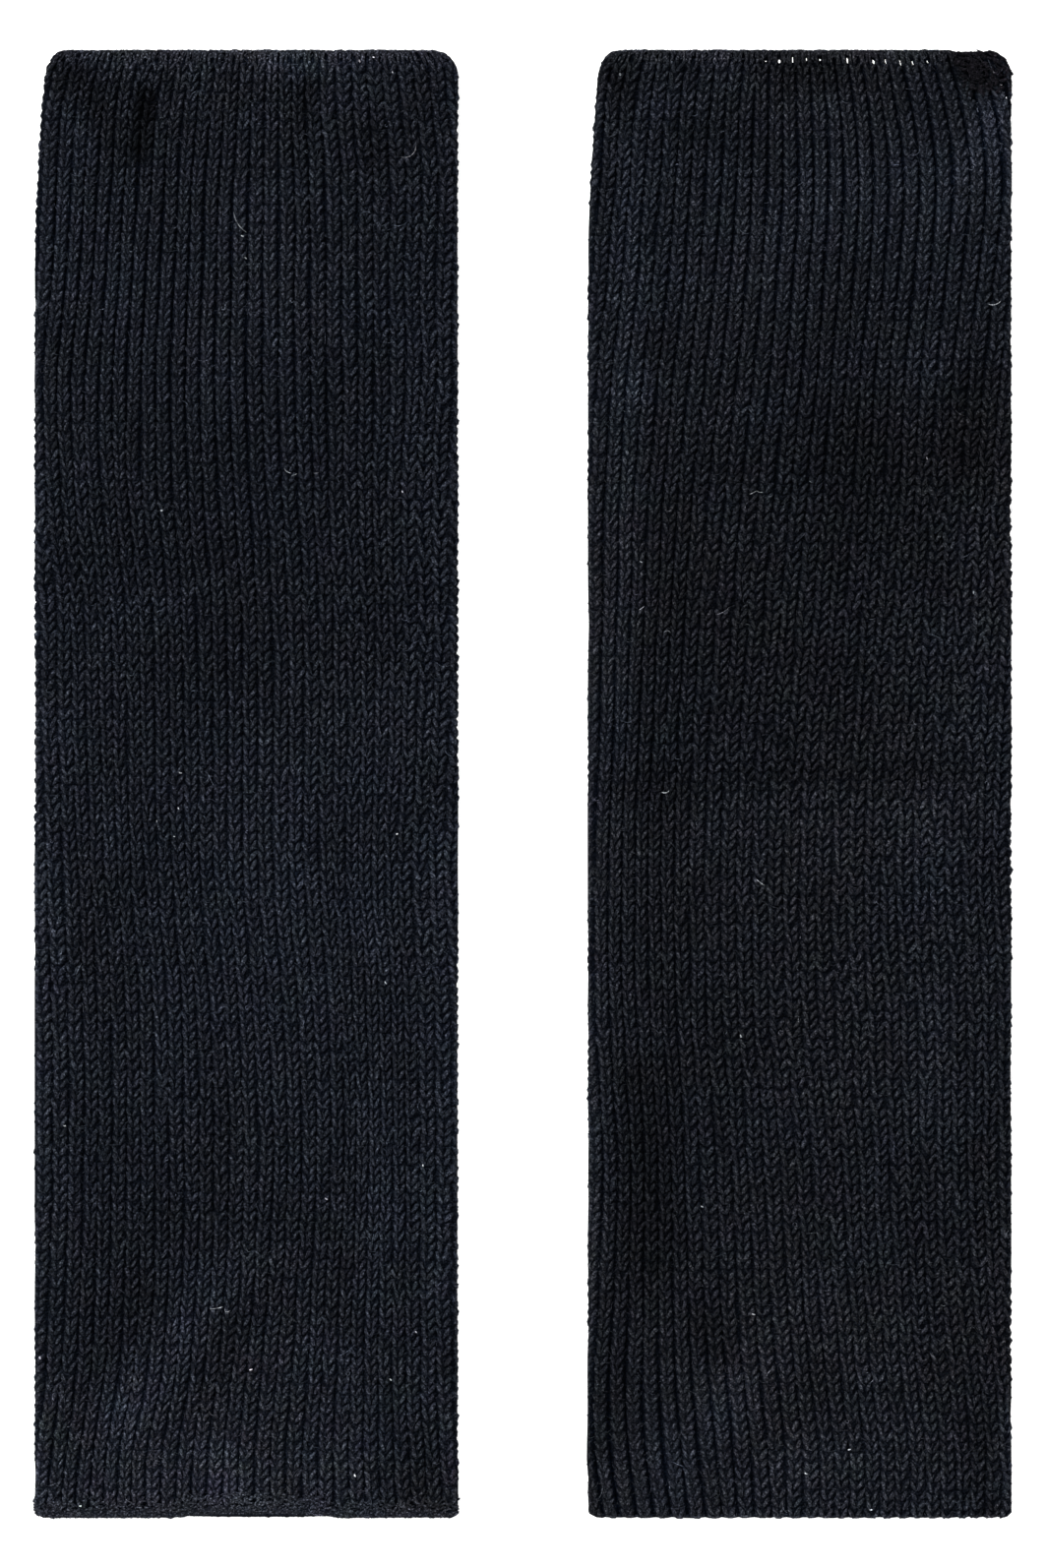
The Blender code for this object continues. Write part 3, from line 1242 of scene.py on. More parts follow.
@dataclass(frozen=True)
class Shades:
    """A leg's two shades of yarn, and how its finishes are mixed from them."""

    leg_name: str
    cool: Colour
    warm: Colour
    # The blue cast of the painted shade in the hollows.
    hollow_shade_cast: Colour = (0.2, 0.8, 1.8)
    fibre_light: float = 4.0

    def yarn(self, part: str, light: float, deep: float, **more: float) -> YarnFinish:
        """Mixes one finish.

        Args:
            part: What it is for.
            light: How light the yarn is beside its shades.
            deep: How light the painted shade in its hollows is.
            more: More of the finish's numbers.

        Returns:
            The finish.
        """
        return YarnFinish(
            f"{self.leg_name}_{part}",
            tuple(light * value for value in self.cool),
            tuple(light * value for value in self.warm),
            tuple(deep * share * value for share, value in zip(self.hollow_shade_cast, self.cool)),
            tuple(self.fibre_light * light * value for value in self.warm),
            **more,
        )

    def palette(self) -> Palette:
        """Mixes the leg's finishes.

        Returns:
            All of them, with the turned corner's inner side painted dark as shade, and the pale
            lint.
        """
        return Palette(
            face=self.yarn("face_yarn", 1.0, 0.10),
            back=self.yarn("back_yarn", 0.95, 0.10),
            # The ground's yarn is painted darker than the stitches, as the shade between and under
            # them.
            ground=self.yarn("ground_yarn", 0.55, 0.05, sheen=0.01),
            edge=self.yarn("edge_yarn", 1.1, 0.12, fibre_share=0.9),
            rim=self.yarn("rim_yarn", 2.0, 0.30, fibre_share=0.9),
            hem=self.yarn("hem_yarn", 1.0, 0.12, fibre_share=0.9, bump=1.0),
            # The turned corner's inner side is painted darker and browner than the face, as the
            # shade it lies in.
            inner=YarnFinish(
                f"{self.leg_name}_inner_yarn",
                (0.0068, 0.0058, 0.0088),
                (0.0060, 0.0056, 0.0084),
                (0.0012, 0.0011, 0.0018),
                (0.0340, 0.0310, 0.0380),
                fibre_share=0.6,
            ),
            fibre=self.yarn("loose_fibre", 1.9, 1.9, fibre_share=0.2),
            bright_fibre=self.yarn("bright_fibre", 3.8, 3.8, fibre_share=0.2),
            lint=YarnFinish(
                f"{self.leg_name}_pale_lint",
                (0.34, 0.35, 0.39),
                (0.34, 0.35, 0.39),
                (0.30, 0.31, 0.34),
                (0.40, 0.41, 0.44),
                fibre_share=0.0,
                bump=0.2,
            ),
        )


PALETTES = {
    "left": Shades("left", (0.0163, 0.0193, 0.0269), (0.0176, 0.0190, 0.0237)).palette(),
    "right": Shades("right", (0.0150, 0.0179, 0.0245), (0.0173, 0.0174, 0.0198)).palette(),
}


def dress(piece: Piece, finish: YarnFinish) -> Piece:
    """Gives a piece its finish and the body that it rides on.

    Args:
        piece: The piece.
        finish: Its finish.

    Returns:
        The same piece.
    """
    made = bpy.data.materials.get(finish.name) or finish.material()
    piece.data.materials.append(made)
    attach(piece, BODY)
    log.info("%s: %d faces", piece.name, len(piece.data.polygons))
    return piece


@dataclass
class LegPart:
    """A part of a leg, made of pieces of yarn and of plain cloth."""

    leg: LaidLeg

    def lay_yarn(
        self, part: str, strands: Strands, section: YarnSection, finish: YarnFinish, slot: str
    ) -> Piece:
        """Makes a dressed piece of yarn strands.

        Args:
            part: What the piece is, for its name.
            strands: Where they run.
            section: Which part of their section is built.
            finish: The piece's finish.
            slot: Not used.

        Returns:
            The piece, with a map along and round each strand, its crest and its tone.
        """
        leg = self.leg
        pitch = leg.pitch(strands.down)
        run = np.stack(
            [
                np.gradient(strands.wale, axis=1) * pitch,
                np.gradient(strands.down, axis=1),
                np.gradient(strands.out, axis=1),
            ],
            axis=-1,
        )
        step = np.linalg.norm(run, axis=-1, keepdims=True)
        run = run / np.maximum(step, TINY)
        side = np.stack([run[..., 1], -run[..., 0], np.zeros(run.shape[:2])], axis=-1)
        side = side / np.maximum(np.linalg.norm(side, axis=-1, keepdims=True), TINY)
        lift = np.cross(side, run)
        angles = np.array(section.value)
        cosine = np.cos(angles)[None, None, :, None]
        sine = np.sin(angles)[None, None, :, None]
        offset = cosine * lift[:, :, None, :] + sine * side[:, :, None, :]
        ragged = leg.rng.normal(1.0, section.ragged, offset.shape[:3] + (1,))
        offset = offset * strands.radius[:, :, None, None] * np.clip(ragged, *RAGGED_RANGE)
        points = leg.place(
            strands.wale[..., None] + offset[..., 0] / pitch[..., None],
            strands.down[..., None] + offset[..., 1],
            strands.out[..., None] + offset[..., 2],
        )
        count, stations = strands.wale.shape
        face = grid_faces(stations, len(angles), section.closed)
        first = np.arange(count)[:, None, None] * stations * len(angles)
        faces = (face[None] + first).reshape(-1, 4)
        piece = make_object(f"{leg.name}_{part}", points.reshape(-1, 3), faces)
        shape = (count, stations, len(angles))
        along = np.cumsum(step[..., 0], axis=1) + MAP_STEP * np.arange(count)[:, None]
        around = np.broadcast_to(angles / math.tau, shape)
        places = np.stack([around, np.broadcast_to(along[..., None], shape)], axis=-1)
        add_map(piece, places.reshape(-1, 2))
        crest = strands.crest[..., None] * section.rounding
        tone = np.broadcast_to(strands.tone[:, None, None], shape)
        add_shading(piece, leg, points.reshape(-1, 3), crest, tone)
        return dress(piece, finish)

    def lay_cloth(
        self,
        part: str,
        points: Values,
        faces: Values,
        crest: Values,
        finish: YarnFinish,
        slot: str,
        map_across: float = 1.0,
    ) -> Piece:
        """Makes a dressed piece of plain cloth.

        Args:
            part: What the piece is, for its name.
            points: Its points in metres, three numbers each.
            faces: Four point numbers for each face.
            crest: How far each point is out of the hollows, from 0 to 1; below 1 it gets painted
                shade.
            finish: The piece's finish.
            slot: Not used.
            map_across: How much of its width the yarn's map runs over.

        Returns:
            The piece.
        """
        piece = make_object(f"{self.leg.name}_{part}", points, faces)
        add_shading(piece, self.leg, points, crest, np.zeros(len(points)))
        add_map(piece, points[:, :2] / MM * (map_across, 1.0))
        return dress(piece, finish)


@dataclass
class Ground(LegPart):
    """The thin shell that carries the form of the cloth, under the stitches, painted dark as the
    shade between them.
    """

    aside: Sizes = (-0.36, 0.0, 0.36, 0.5)
    out: Sizes = (0.02, 0.16, 0.02, -0.85)
    closing: Sizes = (0.0, -0.4, 0.0, 0.5)
    # The crests of each wale's columns with the grooves open, then shut; below 1 they get painted
    # shade, deepest in the groove.
    crest: Sizes = (0.35, 0.52, 0.35, 0.10)
    closed_crest: Sizes = (0.42, 0.26, 0.42, 0.30)
    outside_rows: int = 66
    inside_rows: int = 30
    top: float = 0.5
    slotted_top: float = 4.3
    bottom: float = 399.2
    side_fill: float = 0.66
    end_rows: Sizes = (0.0, 0.25, 0.6, 1.1, 1.8, 2.8, 4.0, 5.6, 8.0, 11.0, 15.0)
    map_across: float = 0.1
    round_down: float = 0.01
    shaded_edge: float = 1.5
    shaded_reach: float = 3.0
    edge_shade: float = 0.6

    def rows(self, count: int) -> Values:
        """Spaces rows of points: close together at the ends, and even between them.

        Args:
            count: How many rows the even part has, with its ends.

        Returns:
            The rows' places down.
        """
        ends = np.array(self.end_rows)
        first = self.top + ends
        last = self.bottom - ends[::-1]
        return np.concatenate([first, np.linspace(first[-1], last[0], count)[1:-1], last])

    def layer(self, down: Values, out: Values) -> Values:
        """Places one side of the shell.

        Args:
            down: Where its rows are.
            out: How far out its columns are.

        Returns:
            The points, a row for each place down.
        """
        wale = np.arange(TUBE.wales)[:, None] + np.array(self.aside)
        wale, down = np.meshgrid(wale.ravel(), down)
        lowered = np.maximum(down, self.slotted_top)
        down = np.where(self.leg.slotted(wale, down), lowered, down)
        closed = 1.0 - self.leg.opening(wale, down)
        out = np.tile(out, TUBE.wales) + np.tile(self.closing, TUBE.wales) * closed
        wale = wale + self.leg.wale_shift(np.round(wale - self.round_down), down)
        return self.leg.place(wale, down, out, self.side_fill)

    def shade(self, down: Values, columns: int) -> Values:
        """Paints shade on the outside: darker in the grooves than on the wales, and darker near
        the upper edge.

        Args:
            down: Where its rows are.
            columns: How many points a row has.

        Returns:
            The crest of each point.
        """
        edge = np.clip((down - self.shaded_edge) / self.shaded_reach, self.edge_shade, 1.0)
        opening = self.leg.opening(*np.meshgrid(np.arange(columns) / len(self.crest), down))
        shade = np.tile(self.crest, TUBE.wales) * opening
        shade = shade + np.tile(self.closed_crest, TUBE.wales) * (1.0 - opening)
        return shade * edge[:, None]

    def build(self) -> Piece:
        """Builds the closed shell.

        Returns:
            The piece.
        """
        down = self.rows(self.outside_rows)
        outside = self.layer(down, np.array(self.out))
        inside = self.layer(self.rows(self.inside_rows)[::-1], np.full(len(self.out), -TUBE.wall))
        grid = np.concatenate([outside, inside])
        rows, columns = grid.shape[:2]
        faces = grid_faces(rows + 1, columns, True) % (rows * columns)
        crest = np.zeros((rows, columns))
        crest[: len(outside)] = self.shade(down, columns)
        points = grid.reshape(-1, 3)
        finish = self.leg.palette.ground
        return self.lay_cloth(
            "ground", points, faces, crest, finish, "knit_yarn", self.map_across
        )


@dataclass
class SlottedBand(LegPart):
    """The stretch of the upper edge whose loops stand open, with a slot in each."""

    step: float = 0.20
    top: float = 0.5
    bottom: float = 4.9
    margin: float = 2.4
    groove_start: float = 0.42
    groove_out: float = -0.4
    crest: float = 0.2

    def build(self) -> list[Piece]:
        """Builds the band.

        Returns:
            The band, or nothing for a leg without slots.
        """
        slots = self.leg.slots
        if not slots:
            return []
        first, last = slots[0].across - self.margin, slots[-1].across + self.margin
        across, down = np.meshgrid(
            np.arange(first, last, self.step), np.arange(self.top, self.bottom, self.step)
        )
        wale = self.leg.wales_at(across, down)
        groove = np.abs(wale - np.round(wale)) > self.groove_start
        points = self.leg.place(wale, down, np.where(groove, self.groove_out, 0.0)).reshape(-1, 3)
        faces = grid_faces(*across.shape, False)
        middle = [values.ravel()[faces].mean(axis=1) for values in (across, down)]
        opened = np.zeros(len(faces), dtype=bool)
        for slot in slots:
            opened |= slot.holds(*middle)
        # Painted shade over the band, full in its grooves.
        crest = np.where(groove, 0.0, self.crest)
        finish = self.leg.palette.ground
        return [
            self.lay_cloth("slotted_band", points, faces[~opened], crest, finish, "edge_yarn")
        ]


@dataclass
class Stitches(LegPart):
    """Columns of stitches, each stitch a pair of yarn strokes that meet at the bottom.

    A stray number is how far chance moves or changes a stroke. Where there are two, the
    second one is added where the grooves are shut.
    """

    aside: Sizes = (0.070, 0.125, 0.215, 0.300, 0.342)
    closed_aside: Sizes = (0.075, 0.145, 0.250, 0.352, 0.397)
    above: Sizes = (-0.14, 0.08, 0.42, 0.74, 0.97)
    out: Sizes = (-0.20, 0.20, 0.42, 0.22, -0.50)
    radius: Sizes = (0.32, 0.47, 0.51, 0.45, 0.26)
    # A stroke's ends, where it dips under its neighbours, get painted shade.
    crest: Sizes = (0.35, 0.85, 1.0, 0.72, 0.02)
    lean: float = 0.05
    swell: float = 0.10
    middle: float = 0.6
    top_room: float = 0.9
    bottom_room: float = 0.45
    stray_wale: Pair = (0.015, 0.035)
    stray_course: Pair = (0.035, 0.025)
    stray_spread: Pair = (0.07, 0.05)
    stray_lean: float = 0.035
    stray_aside: float = 0.018
    stray_height: float = 0.05
    stray_down: float = 0.055
    stray_out: float = 0.07
    stray_radius: float = 0.08
    stray_tone: float = 0.42

    def strands(self, wales: range, courses: range, stations: tuple[int, ...]) -> Strands:
        """Lays out the strokes of a block of stitches.

        Args:
            wales: Which wales.
            courses: Which courses, counted from the top.
            stations: Which of the stroke's stations are kept.

        Returns:
            Two strands for each stitch.
        """
        rng = self.leg.rng
        keep = list(stations)
        wale, course, side = np.meshgrid(list(wales), list(courses), (-1, 1), indexing="ij")
        tall = self.leg.course
        hidden = self.leg.turned(wale, TUBE.top_edge_depth + (course + self.middle) * tall)
        wale, course, side = (values[~hidden][:, None] for values in (wale, course, side))
        count = len(wale)
        down = TUBE.top_edge_depth + (course + 1.0) * tall
        down = down + self.leg.row_shift(wale, down)
        closed = 1.0 - self.leg.opening(wale, down)
        stray_wale, stray_course, stray_spread = (
            stray + more * closed
            for stray, more in (self.stray_wale, self.stray_course, self.stray_spread)
        )
        both = np.repeat(rng.normal(0.0, 1.0, (count // 2, 2)), 2, axis=0)
        wale = wale + stray_wale * both[:, :1]
        down = down + tall * stray_course * both[:, 1:]
        spread = 1.0 + stray_spread * self.leg.stray(1.0, count)
        lean = self.lean + self.leg.stray(self.stray_lean, count)
        shut = np.array(self.closed_aside)[keep]
        aside = side * spread * (np.array(self.aside)[keep] * (1.0 - closed) + shut * closed)
        aside = aside + rng.normal(0.0, self.stray_aside, aside.shape)
        above = np.array(self.above)[keep]
        places = wale + aside + lean * (above - 0.5) + self.leg.wale_shift(wale, down)
        height = above * (1.0 + self.leg.stray(self.stray_height, count))
        downs = down - tall * (height + self.leg.stray(self.stray_down, count))
        outs = np.array(self.out)[keep] + self.leg.stray(self.stray_out, count)
        radius = np.array(self.radius)[keep] * (1.0 + self.leg.stray(self.stray_radius, count))
        radius = radius * (1.0 + self.swell * closed)
        downs = np.clip(downs, self.top_room, TUBE.length - self.bottom_room)
        downs = self.leg.clear_of_slots(places, downs)
        tone = np.clip(self.leg.stray(self.stray_tone, count)[:, 0], -1.0, 1.0)
        return Strands(places, downs, outs, radius, np.array(self.crest)[keep], tone)

    def build(self) -> list[Piece]:
        """Builds the stitches of both layers.

        Returns:
            The upper layer's two halves and the lower layer.
        """
        face = range(-2, TUBE.face_wales + 3)
        back = range(TUBE.face_wales + 3, TUBE.wales - 2)
        middle = TUBE.courses // 2
        whole, fewer = (0, 1, 2, 3, 4), (0, 1, 3, 4)
        top, low, both = range(middle), range(middle, TUBE.courses), range(TUBE.courses)
        palette = self.leg.palette
        blocks = (
            ("upper_stitches_top", face, top, whole, YarnSection.FACE, palette.face),
            ("upper_stitches_low", face, low, whole, YarnSection.FACE, palette.face),
            ("lower_stitches", back, both, fewer, YarnSection.BACK, palette.back),
        )
        pieces = []
        for part, wales, courses, stations, section, finish in blocks:
            strands = self.strands(wales, courses, stations)
            pieces.append(self.lay_yarn(part, strands, section, finish, "knit_yarn"))
        return pieces


@dataclass
class LinkedEdge(LegPart):
    """The cast-off row along the upper opening: arches over the wales, and a chain.

    A stray number is how far chance moves or changes a strand.
    """

    aside: Sizes = (-0.25, -0.30, -0.27, -0.13, 0.13, 0.27, 0.30, 0.25)
    above: Sizes = (-1.1, 0.5, 1.9, 2.75, 2.75, 1.9, 0.5, -1.1)
    out: Sizes = (-0.35, 0.2, 0.34, 0.30, 0.30, 0.34, 0.2, -0.35)
    radius: float = 0.42
    base_gap: float = 0.1
    crest: float = 0.75
    least_crest: float = 0.1
    turned_depth: float = 2.0
    room: float = 0.03
    behind_width: float = 0.6
    behind_down: float = 0.2
    behind_out: float = -0.3
    behind_radius: float = 0.4
    chain_stations: int = 5
    chain_reach: float = 0.34
    chain_slant: Pair = (0.42, 0.25)
    chain_out: Pair = (-0.12, -0.3)
    chain_radius: float = 0.34
    fuzz: Tangle = Tangle(0.9, 2.0, 0.25, 0.30, lie=math.pi / 2)
    fuzz_count: int = 700
    fuzz_depth: float = 3.6
    fuzz_fall: Pair = (1.0, 1.6)
    fuzz_out: float = 0.55
    slot_room: float = 1.3
    stray_aside: float = 0.08
    stray_down: float = 0.12
    stray_out: float = 0.06
    stray_radius: float = 0.1
    stray_tone: float = 0.5

    def row(
        self, wale: Values, aside: Values, down: Values, out: Values, radius: float
    ) -> Strands:
        """Lays out a row of strands that are all alike but for chance.

        Args:
            wale: The strands' places round the tube.
            aside: Offsets along one strand, in wales.
            down: Places down along one strand.
            out: Distances out along one strand.
            radius: The yarn's radius.

        Returns:
            The row.
        """
        leg = self.leg
        wale = wale[~leg.turned(wale, np.full(wale.shape, self.turned_depth))]
        count = len(wale)
        places = wale[:, None] + aside * (1.0 + leg.stray(self.stray_aside, count))
        downs = np.maximum(down + leg.stray(self.stray_down, count), radius + self.room)
        outs = out + leg.stray(self.stray_out, count)
        radii = radius * (1.0 + leg.stray(self.stray_radius, count))
        # Deeper parts of a strand get painted shade.
        crest = np.clip(self.crest + out, self.least_crest, 1.0)
        tone = np.clip(leg.stray(self.stray_tone, count)[:, 0], -1.0, 1.0)
        return Strands(places, downs, outs, radii, crest, tone)

    def tangle(self) -> Strands:
        """Scatters short arcs over the row, but not over its slots.

        Returns:
            The arcs.
        """
        rng = self.leg.rng
        wale = rng.uniform(0.0, TUBE.wales, self.fuzz_count)
        down = self.fuzz_depth * rng.beta(*self.fuzz_fall, self.fuzz_count)
        kept = ~self.leg.turned(wale, down)
        across = self.leg.across_at(wale, down)
        for slot in self.leg.slots:
            kept &= np.hypot(across - slot.across, down - slot.down) > self.slot_room
        wale, down = wale[kept], down[kept]
        return self.fuzz.strands(self.leg, wale, down, np.full(len(wale), self.fuzz_out))

    def loop_places(self) -> Values:
        """Spreads the loops round the tube, each slot in the middle of one.

        Returns:
            The loops' places in wales.
        """
        step = TUBE.wales / TUBE.loops
        places = step * np.arange(TUBE.loops)
        if not self.leg.slots:
            return places
        across = np.array([slot.across for slot in self.leg.slots])
        slots = self.leg.wales_at(across, np.array([slot.down for slot in self.leg.slots]))
        places = places + slots[0] % step
        number = np.arange(len(slots))
        nearest = np.round((slots - places[0]) / step).astype(int)
        places[np.maximum.accumulate(nearest - number) + number] = slots
        return places

    def build(self) -> list[Piece]:
        """Builds the arches, the ones behind them, the chain along the edge and the fuzz.

        Returns:
            The four pieces.
        """
        step = TUBE.wales / TUBE.loops
        wale = self.loop_places()
        between = (wale + np.append(wale[1:], wale[0] + TUBE.wales)) / 2
        aside, out = step * np.array(self.aside), np.array(self.out)
        down = TUBE.top_edge_depth - self.base_gap - np.array(self.above)
        along = np.linspace(-1.0, 1.0, self.chain_stations)
        chain = (
            self.chain_reach * along,
            self.chain_slant[0] + self.chain_slant[1] * along,
            self.chain_out[0] + self.chain_out[1] * along**2,
            self.chain_radius,
        )
        behind = (
            aside * self.behind_width,
            down + self.behind_down,
            out + self.behind_out,
            self.behind_radius,
        )
        palette = self.leg.palette
        whole, face = YarnSection.ROUND, YarnSection.FACE
        rows = (
            ("linked_loops", self.row(wale, aside, down, out, self.radius), whole, palette.edge),
            ("loops_behind", self.row(between, *behind), whole, palette.edge),
            ("edge_chain", self.row(np.concatenate([wale, between]), *chain), whole, palette.rim),
            ("edge_fuzz", self.tangle(), face, palette.edge),
        )
        return [self.lay_yarn(*row, "edge_yarn") for row in rows]


@dataclass(frozen=True)
class FuzzPatch:
    """A stretch of the hem where the curled edge stands higher over the knit."""

    across: float
    reach: float
    height: float


@dataclass
class RolledHem(LegPart):
    """The starting edge, which curls up and shows the cloth's looped side."""

    patches: tuple[FuzzPatch, ...]
    middle: float = 398.4
    level: float = -0.6
    roll: float = 1.35
    sides: int = 10
    # The roll gets painted shade under its curls, and more on the lower layer under the upper one.
    upper_crest: float = 0.45
    lower_crest: float = 0.12
    tangle: Tangle = Tangle(0.9, 2.2, 0.35, 0.30)
    curls_per_square: float = 1.7
    band: float = 2.9
    measured_above: float = 4.0
    quarter_turn: float = 2.0
    ragged: float = 0.7
    wrap: Pair = (90.0, 12.0)
    curl_down: float = 0.1
    curl_out: float = 0.05

    def core(self) -> Piece:
        """Builds the roll under the curls.

        Returns:
            The piece.
        """
        count = TUBE.wales * 2
        wale = np.arange(count)[None, :] / 2
        angle = np.radians(np.arange(self.sides) * (360.0 / self.sides))[:, None]
        down = self.middle + self.roll * np.cos(angle)
        out = self.level + self.roll * np.sin(angle)
        points = self.leg.place(wale, down, out).reshape(-1, 3)
        faces = grid_faces(self.sides + 1, count, True) % (self.sides * count)
        crest = np.where(wale < TUBE.face_wales, self.upper_crest, self.lower_crest)
        crest = np.tile(crest[0], self.sides)
        finish = self.leg.palette.hem
        return self.lay_cloth("hem_roll", points, faces, crest, finish, "hem_yarn")

    def height_at(self, wale: Values) -> Values:
        """Finds how far the tangle reaches up over the roll.

        Args:
            wale: Places round the tube.

        Returns:
            The height at each place.
        """
        across = self.leg.across_at(wale, np.full(wale.shape, TUBE.length - self.measured_above))
        height = np.full(wale.shape, self.band)
        for patch in self.patches:
            away = np.clip(np.abs(across - patch.across) / patch.reach, 0.0, 1.0)
            height += (patch.height - self.band) * (1.0 - away**4)
        return np.where(wale < TUBE.face_wales, height, self.band)

    def curls(self) -> Piece:
        """Builds the short tangled arcs of yarn that wrap the roll.

        Returns:
            The piece.
        """
        rng = self.leg.rng
        quarter = self.quarter_turn * self.roll
        tallest = max([self.band] + [patch.height for patch in self.patches]) + quarter
        area = TUBE.wales * TUBE.wale_width * tallest
        wale = rng.uniform(0.0, TUBE.wales, int(area * self.curls_per_square))
        travel = rng.uniform(0.0, tallest, len(wale))
        ragged = rng.normal(0.0, self.ragged, len(wale))
        kept = travel < self.height_at(wale) + quarter + ragged
        wale, travel = wale[kept], travel[kept]
        angle = np.radians(self.wrap[0] * np.clip(travel / quarter, 0.0, 1.0) - self.wrap[1])
        down = self.middle + (self.roll + self.curl_down) * np.cos(angle)
        down = down - np.maximum(travel - quarter, 0.0)
        out = self.level + (self.roll + self.curl_out) * np.sin(angle)
        strands = self.tangle.strands(self.leg, wale, down, out)
        finish = self.leg.palette.hem
        return self.lay_yarn("hem_curls", strands, YarnSection.FACE, finish, "hem_yarn")

    def build(self) -> list[Piece]:
        """Builds the roll and its curls."""
        return [self.core(), self.curls()]


@dataclass
class OpenHem(LegPart):
    """A starting edge that stays flat: a small loop under each wale, hung on a cord.

    A stray number is how far chance moves or changes a loop.
    """

    aside: Sizes = (-0.31, -0.27, -0.12, 0.12, 0.27, 0.31)
    above: Sizes = (1.5, 0.30, 0.0, 0.0, 0.30, 1.5)
    out: Sizes = (-0.45, 0.15, 0.25, 0.25, 0.15, -0.45)
    radius: float = 0.36
    crest: float = 0.75
    least_crest: float = 0.1
    room: float = 0.05
    stray_aside: float = 0.08
    stray_up: float = 0.10
    stray_out: float = 0.08
    stray_tone: float = 0.5
    cord_steps: int = 4
    cord_above: float = 0.70
    cord_sway: float = 0.25
    cord_out: float = -0.35
    cord_radius: float = 0.5
    # The cord behind the loops gets painted shade.
    cord_crest: float = 0.35

    def loops(self) -> Strands:
        """Lays out the loops.

        Returns:
            One strand for each wale.
        """
        leg, count = self.leg, TUBE.wales
        spread = 1.0 + leg.stray(self.stray_aside, count)
        places = np.arange(count)[:, None] + np.array(self.aside) * spread
        down = TUBE.length - self.radius - self.room - np.array(self.above)
        down = down - np.abs(leg.stray(self.stray_up, count))
        out = np.array(self.out) + leg.stray(self.stray_out, count)
        # Deeper parts of a loop get painted shade.
        crest = np.clip(self.crest + np.array(self.out), self.least_crest, 1.0)
        tone = np.clip(leg.stray(self.stray_tone, count)[:, 0], -1.0, 1.0)
        return Strands(places, down, out, np.array(self.radius), crest, tone)

    def cord(self) -> Strands:
        """Lays out the cord.

        Returns:
            One strand that runs all round the tube.
        """
        place = np.linspace(0.0, TUBE.wales, TUBE.wales * self.cord_steps + 1)[None, :]
        sway = self.cord_sway * np.cos(math.tau * place)
        down = TUBE.length - self.cord_above + sway / 3
        plain = (np.array(value) for value in (self.cord_out, self.cord_radius, self.cord_crest))
        return Strands(place, down, *plain, np.zeros(1))

    def build(self) -> list[Piece]:
        """Builds the loops and the cord.

        Returns:
            The two pieces.
        """
        finish = self.leg.palette.face
        return [
            self.lay_yarn(part, strands, YarnSection.ROUND, finish, "hem_yarn")
            for part, strands in (("starting_loops", self.loops()), ("starting_cord", self.cord()))
        ]


@dataclass
class InnerSide(LegPart):
    """The looped inner side of the cloth, where a corner of the upper layer turns it out."""

    tries: int = 1700
    tangle: Tangle = Tangle(1.2, 2.4, 0.5, 0.38, 5, scatter=2.0)
    top: float = 0.3
    searched_edges: float = 5.0
    overlap: float = 1.2
    out: float = 0.45

    def build(self) -> list[Piece]:
        """Builds a tangle of small arcs.

        Returns:
            The tangle, or nothing for a leg without turned corners.
        """
        if not self.leg.corners:
            return []
        rng = self.leg.rng
        wale = rng.uniform(0.0, TUBE.face_wales, self.tries)
        down = rng.uniform(self.top, TUBE.top_edge_depth * self.searched_edges, self.tries)
        bare = self.leg.turned(wale, np.maximum(down - self.overlap, 0.0))
        wale, down = wale[bare], down[bare]
        strands = self.tangle.strands(self.leg, wale, down, np.full(len(wale), self.out))
        finish = self.leg.palette.inner
        return [self.lay_yarn("inner_side", strands, YarnSection.ROUND, finish, "knit_yarn")]


@dataclass
class LooseFibres(LegPart):
    """Fine hairs of the yarn that lie over the stitches.

    Their lengths follow a gamma spread with a mean of one. Their turns are in radians.
    """

    name: str
    finish: YarnFinish
    count: int
    width: float
    length: float
    curl: float
    stations: int = 3
    lift: float = 0.85
    past_sides: float = 0.8
    end_room: float = 1.0
    least_room: float = 0.1
    length_spread: Pair = (4.0, 0.25)
    turn: float = 0.9
    stray_out: Pair = (-0.3, 0.25)
    droop: float = 0.2
    thinning: float = 0.6

    def build(self) -> Piece:
        """Scatters the hairs over the upper layer and the sides.

        Returns:
            The piece.
        """
        rng = self.leg.rng
        each = (self.count, 1)
        share = np.linspace(-1.0, 1.0, self.stations)
        wale = rng.uniform(-self.past_sides, TUBE.face_wales + self.past_sides, each)
        down = rng.uniform(self.end_room, TUBE.length - self.end_room, each)
        length = self.length * rng.gamma(*self.length_spread, each)
        turn = rng.normal(0.0, self.turn, each)
        heading = turn + self.curl * rng.normal(0.0, 1.0, each) * share
        step = length / (self.stations - 1)
        side = np.cumsum(np.sin(heading) * step, axis=1)
        ahead = np.cumsum(np.cos(heading) * step, axis=1)
        places = wale + (side - side.mean(axis=1, keepdims=True)) / self.leg.pitch(down)
        downs = down + ahead - ahead.mean(axis=1, keepdims=True)
        downs = np.clip(downs, self.least_room, TUBE.length - self.least_room)
        out = self.lift + rng.uniform(*self.stray_out, each) - self.droop * share**2
        radius = self.width * (1.0 - self.thinning * share**2)
        tone = rng.uniform(-1.0, 1.0, self.count)
        strands = Strands(places, downs, out, radius, np.ones(1), tone)
        return self.lay_yarn(self.name, strands, YarnSection.HAIR, self.finish, "knit_yarn")


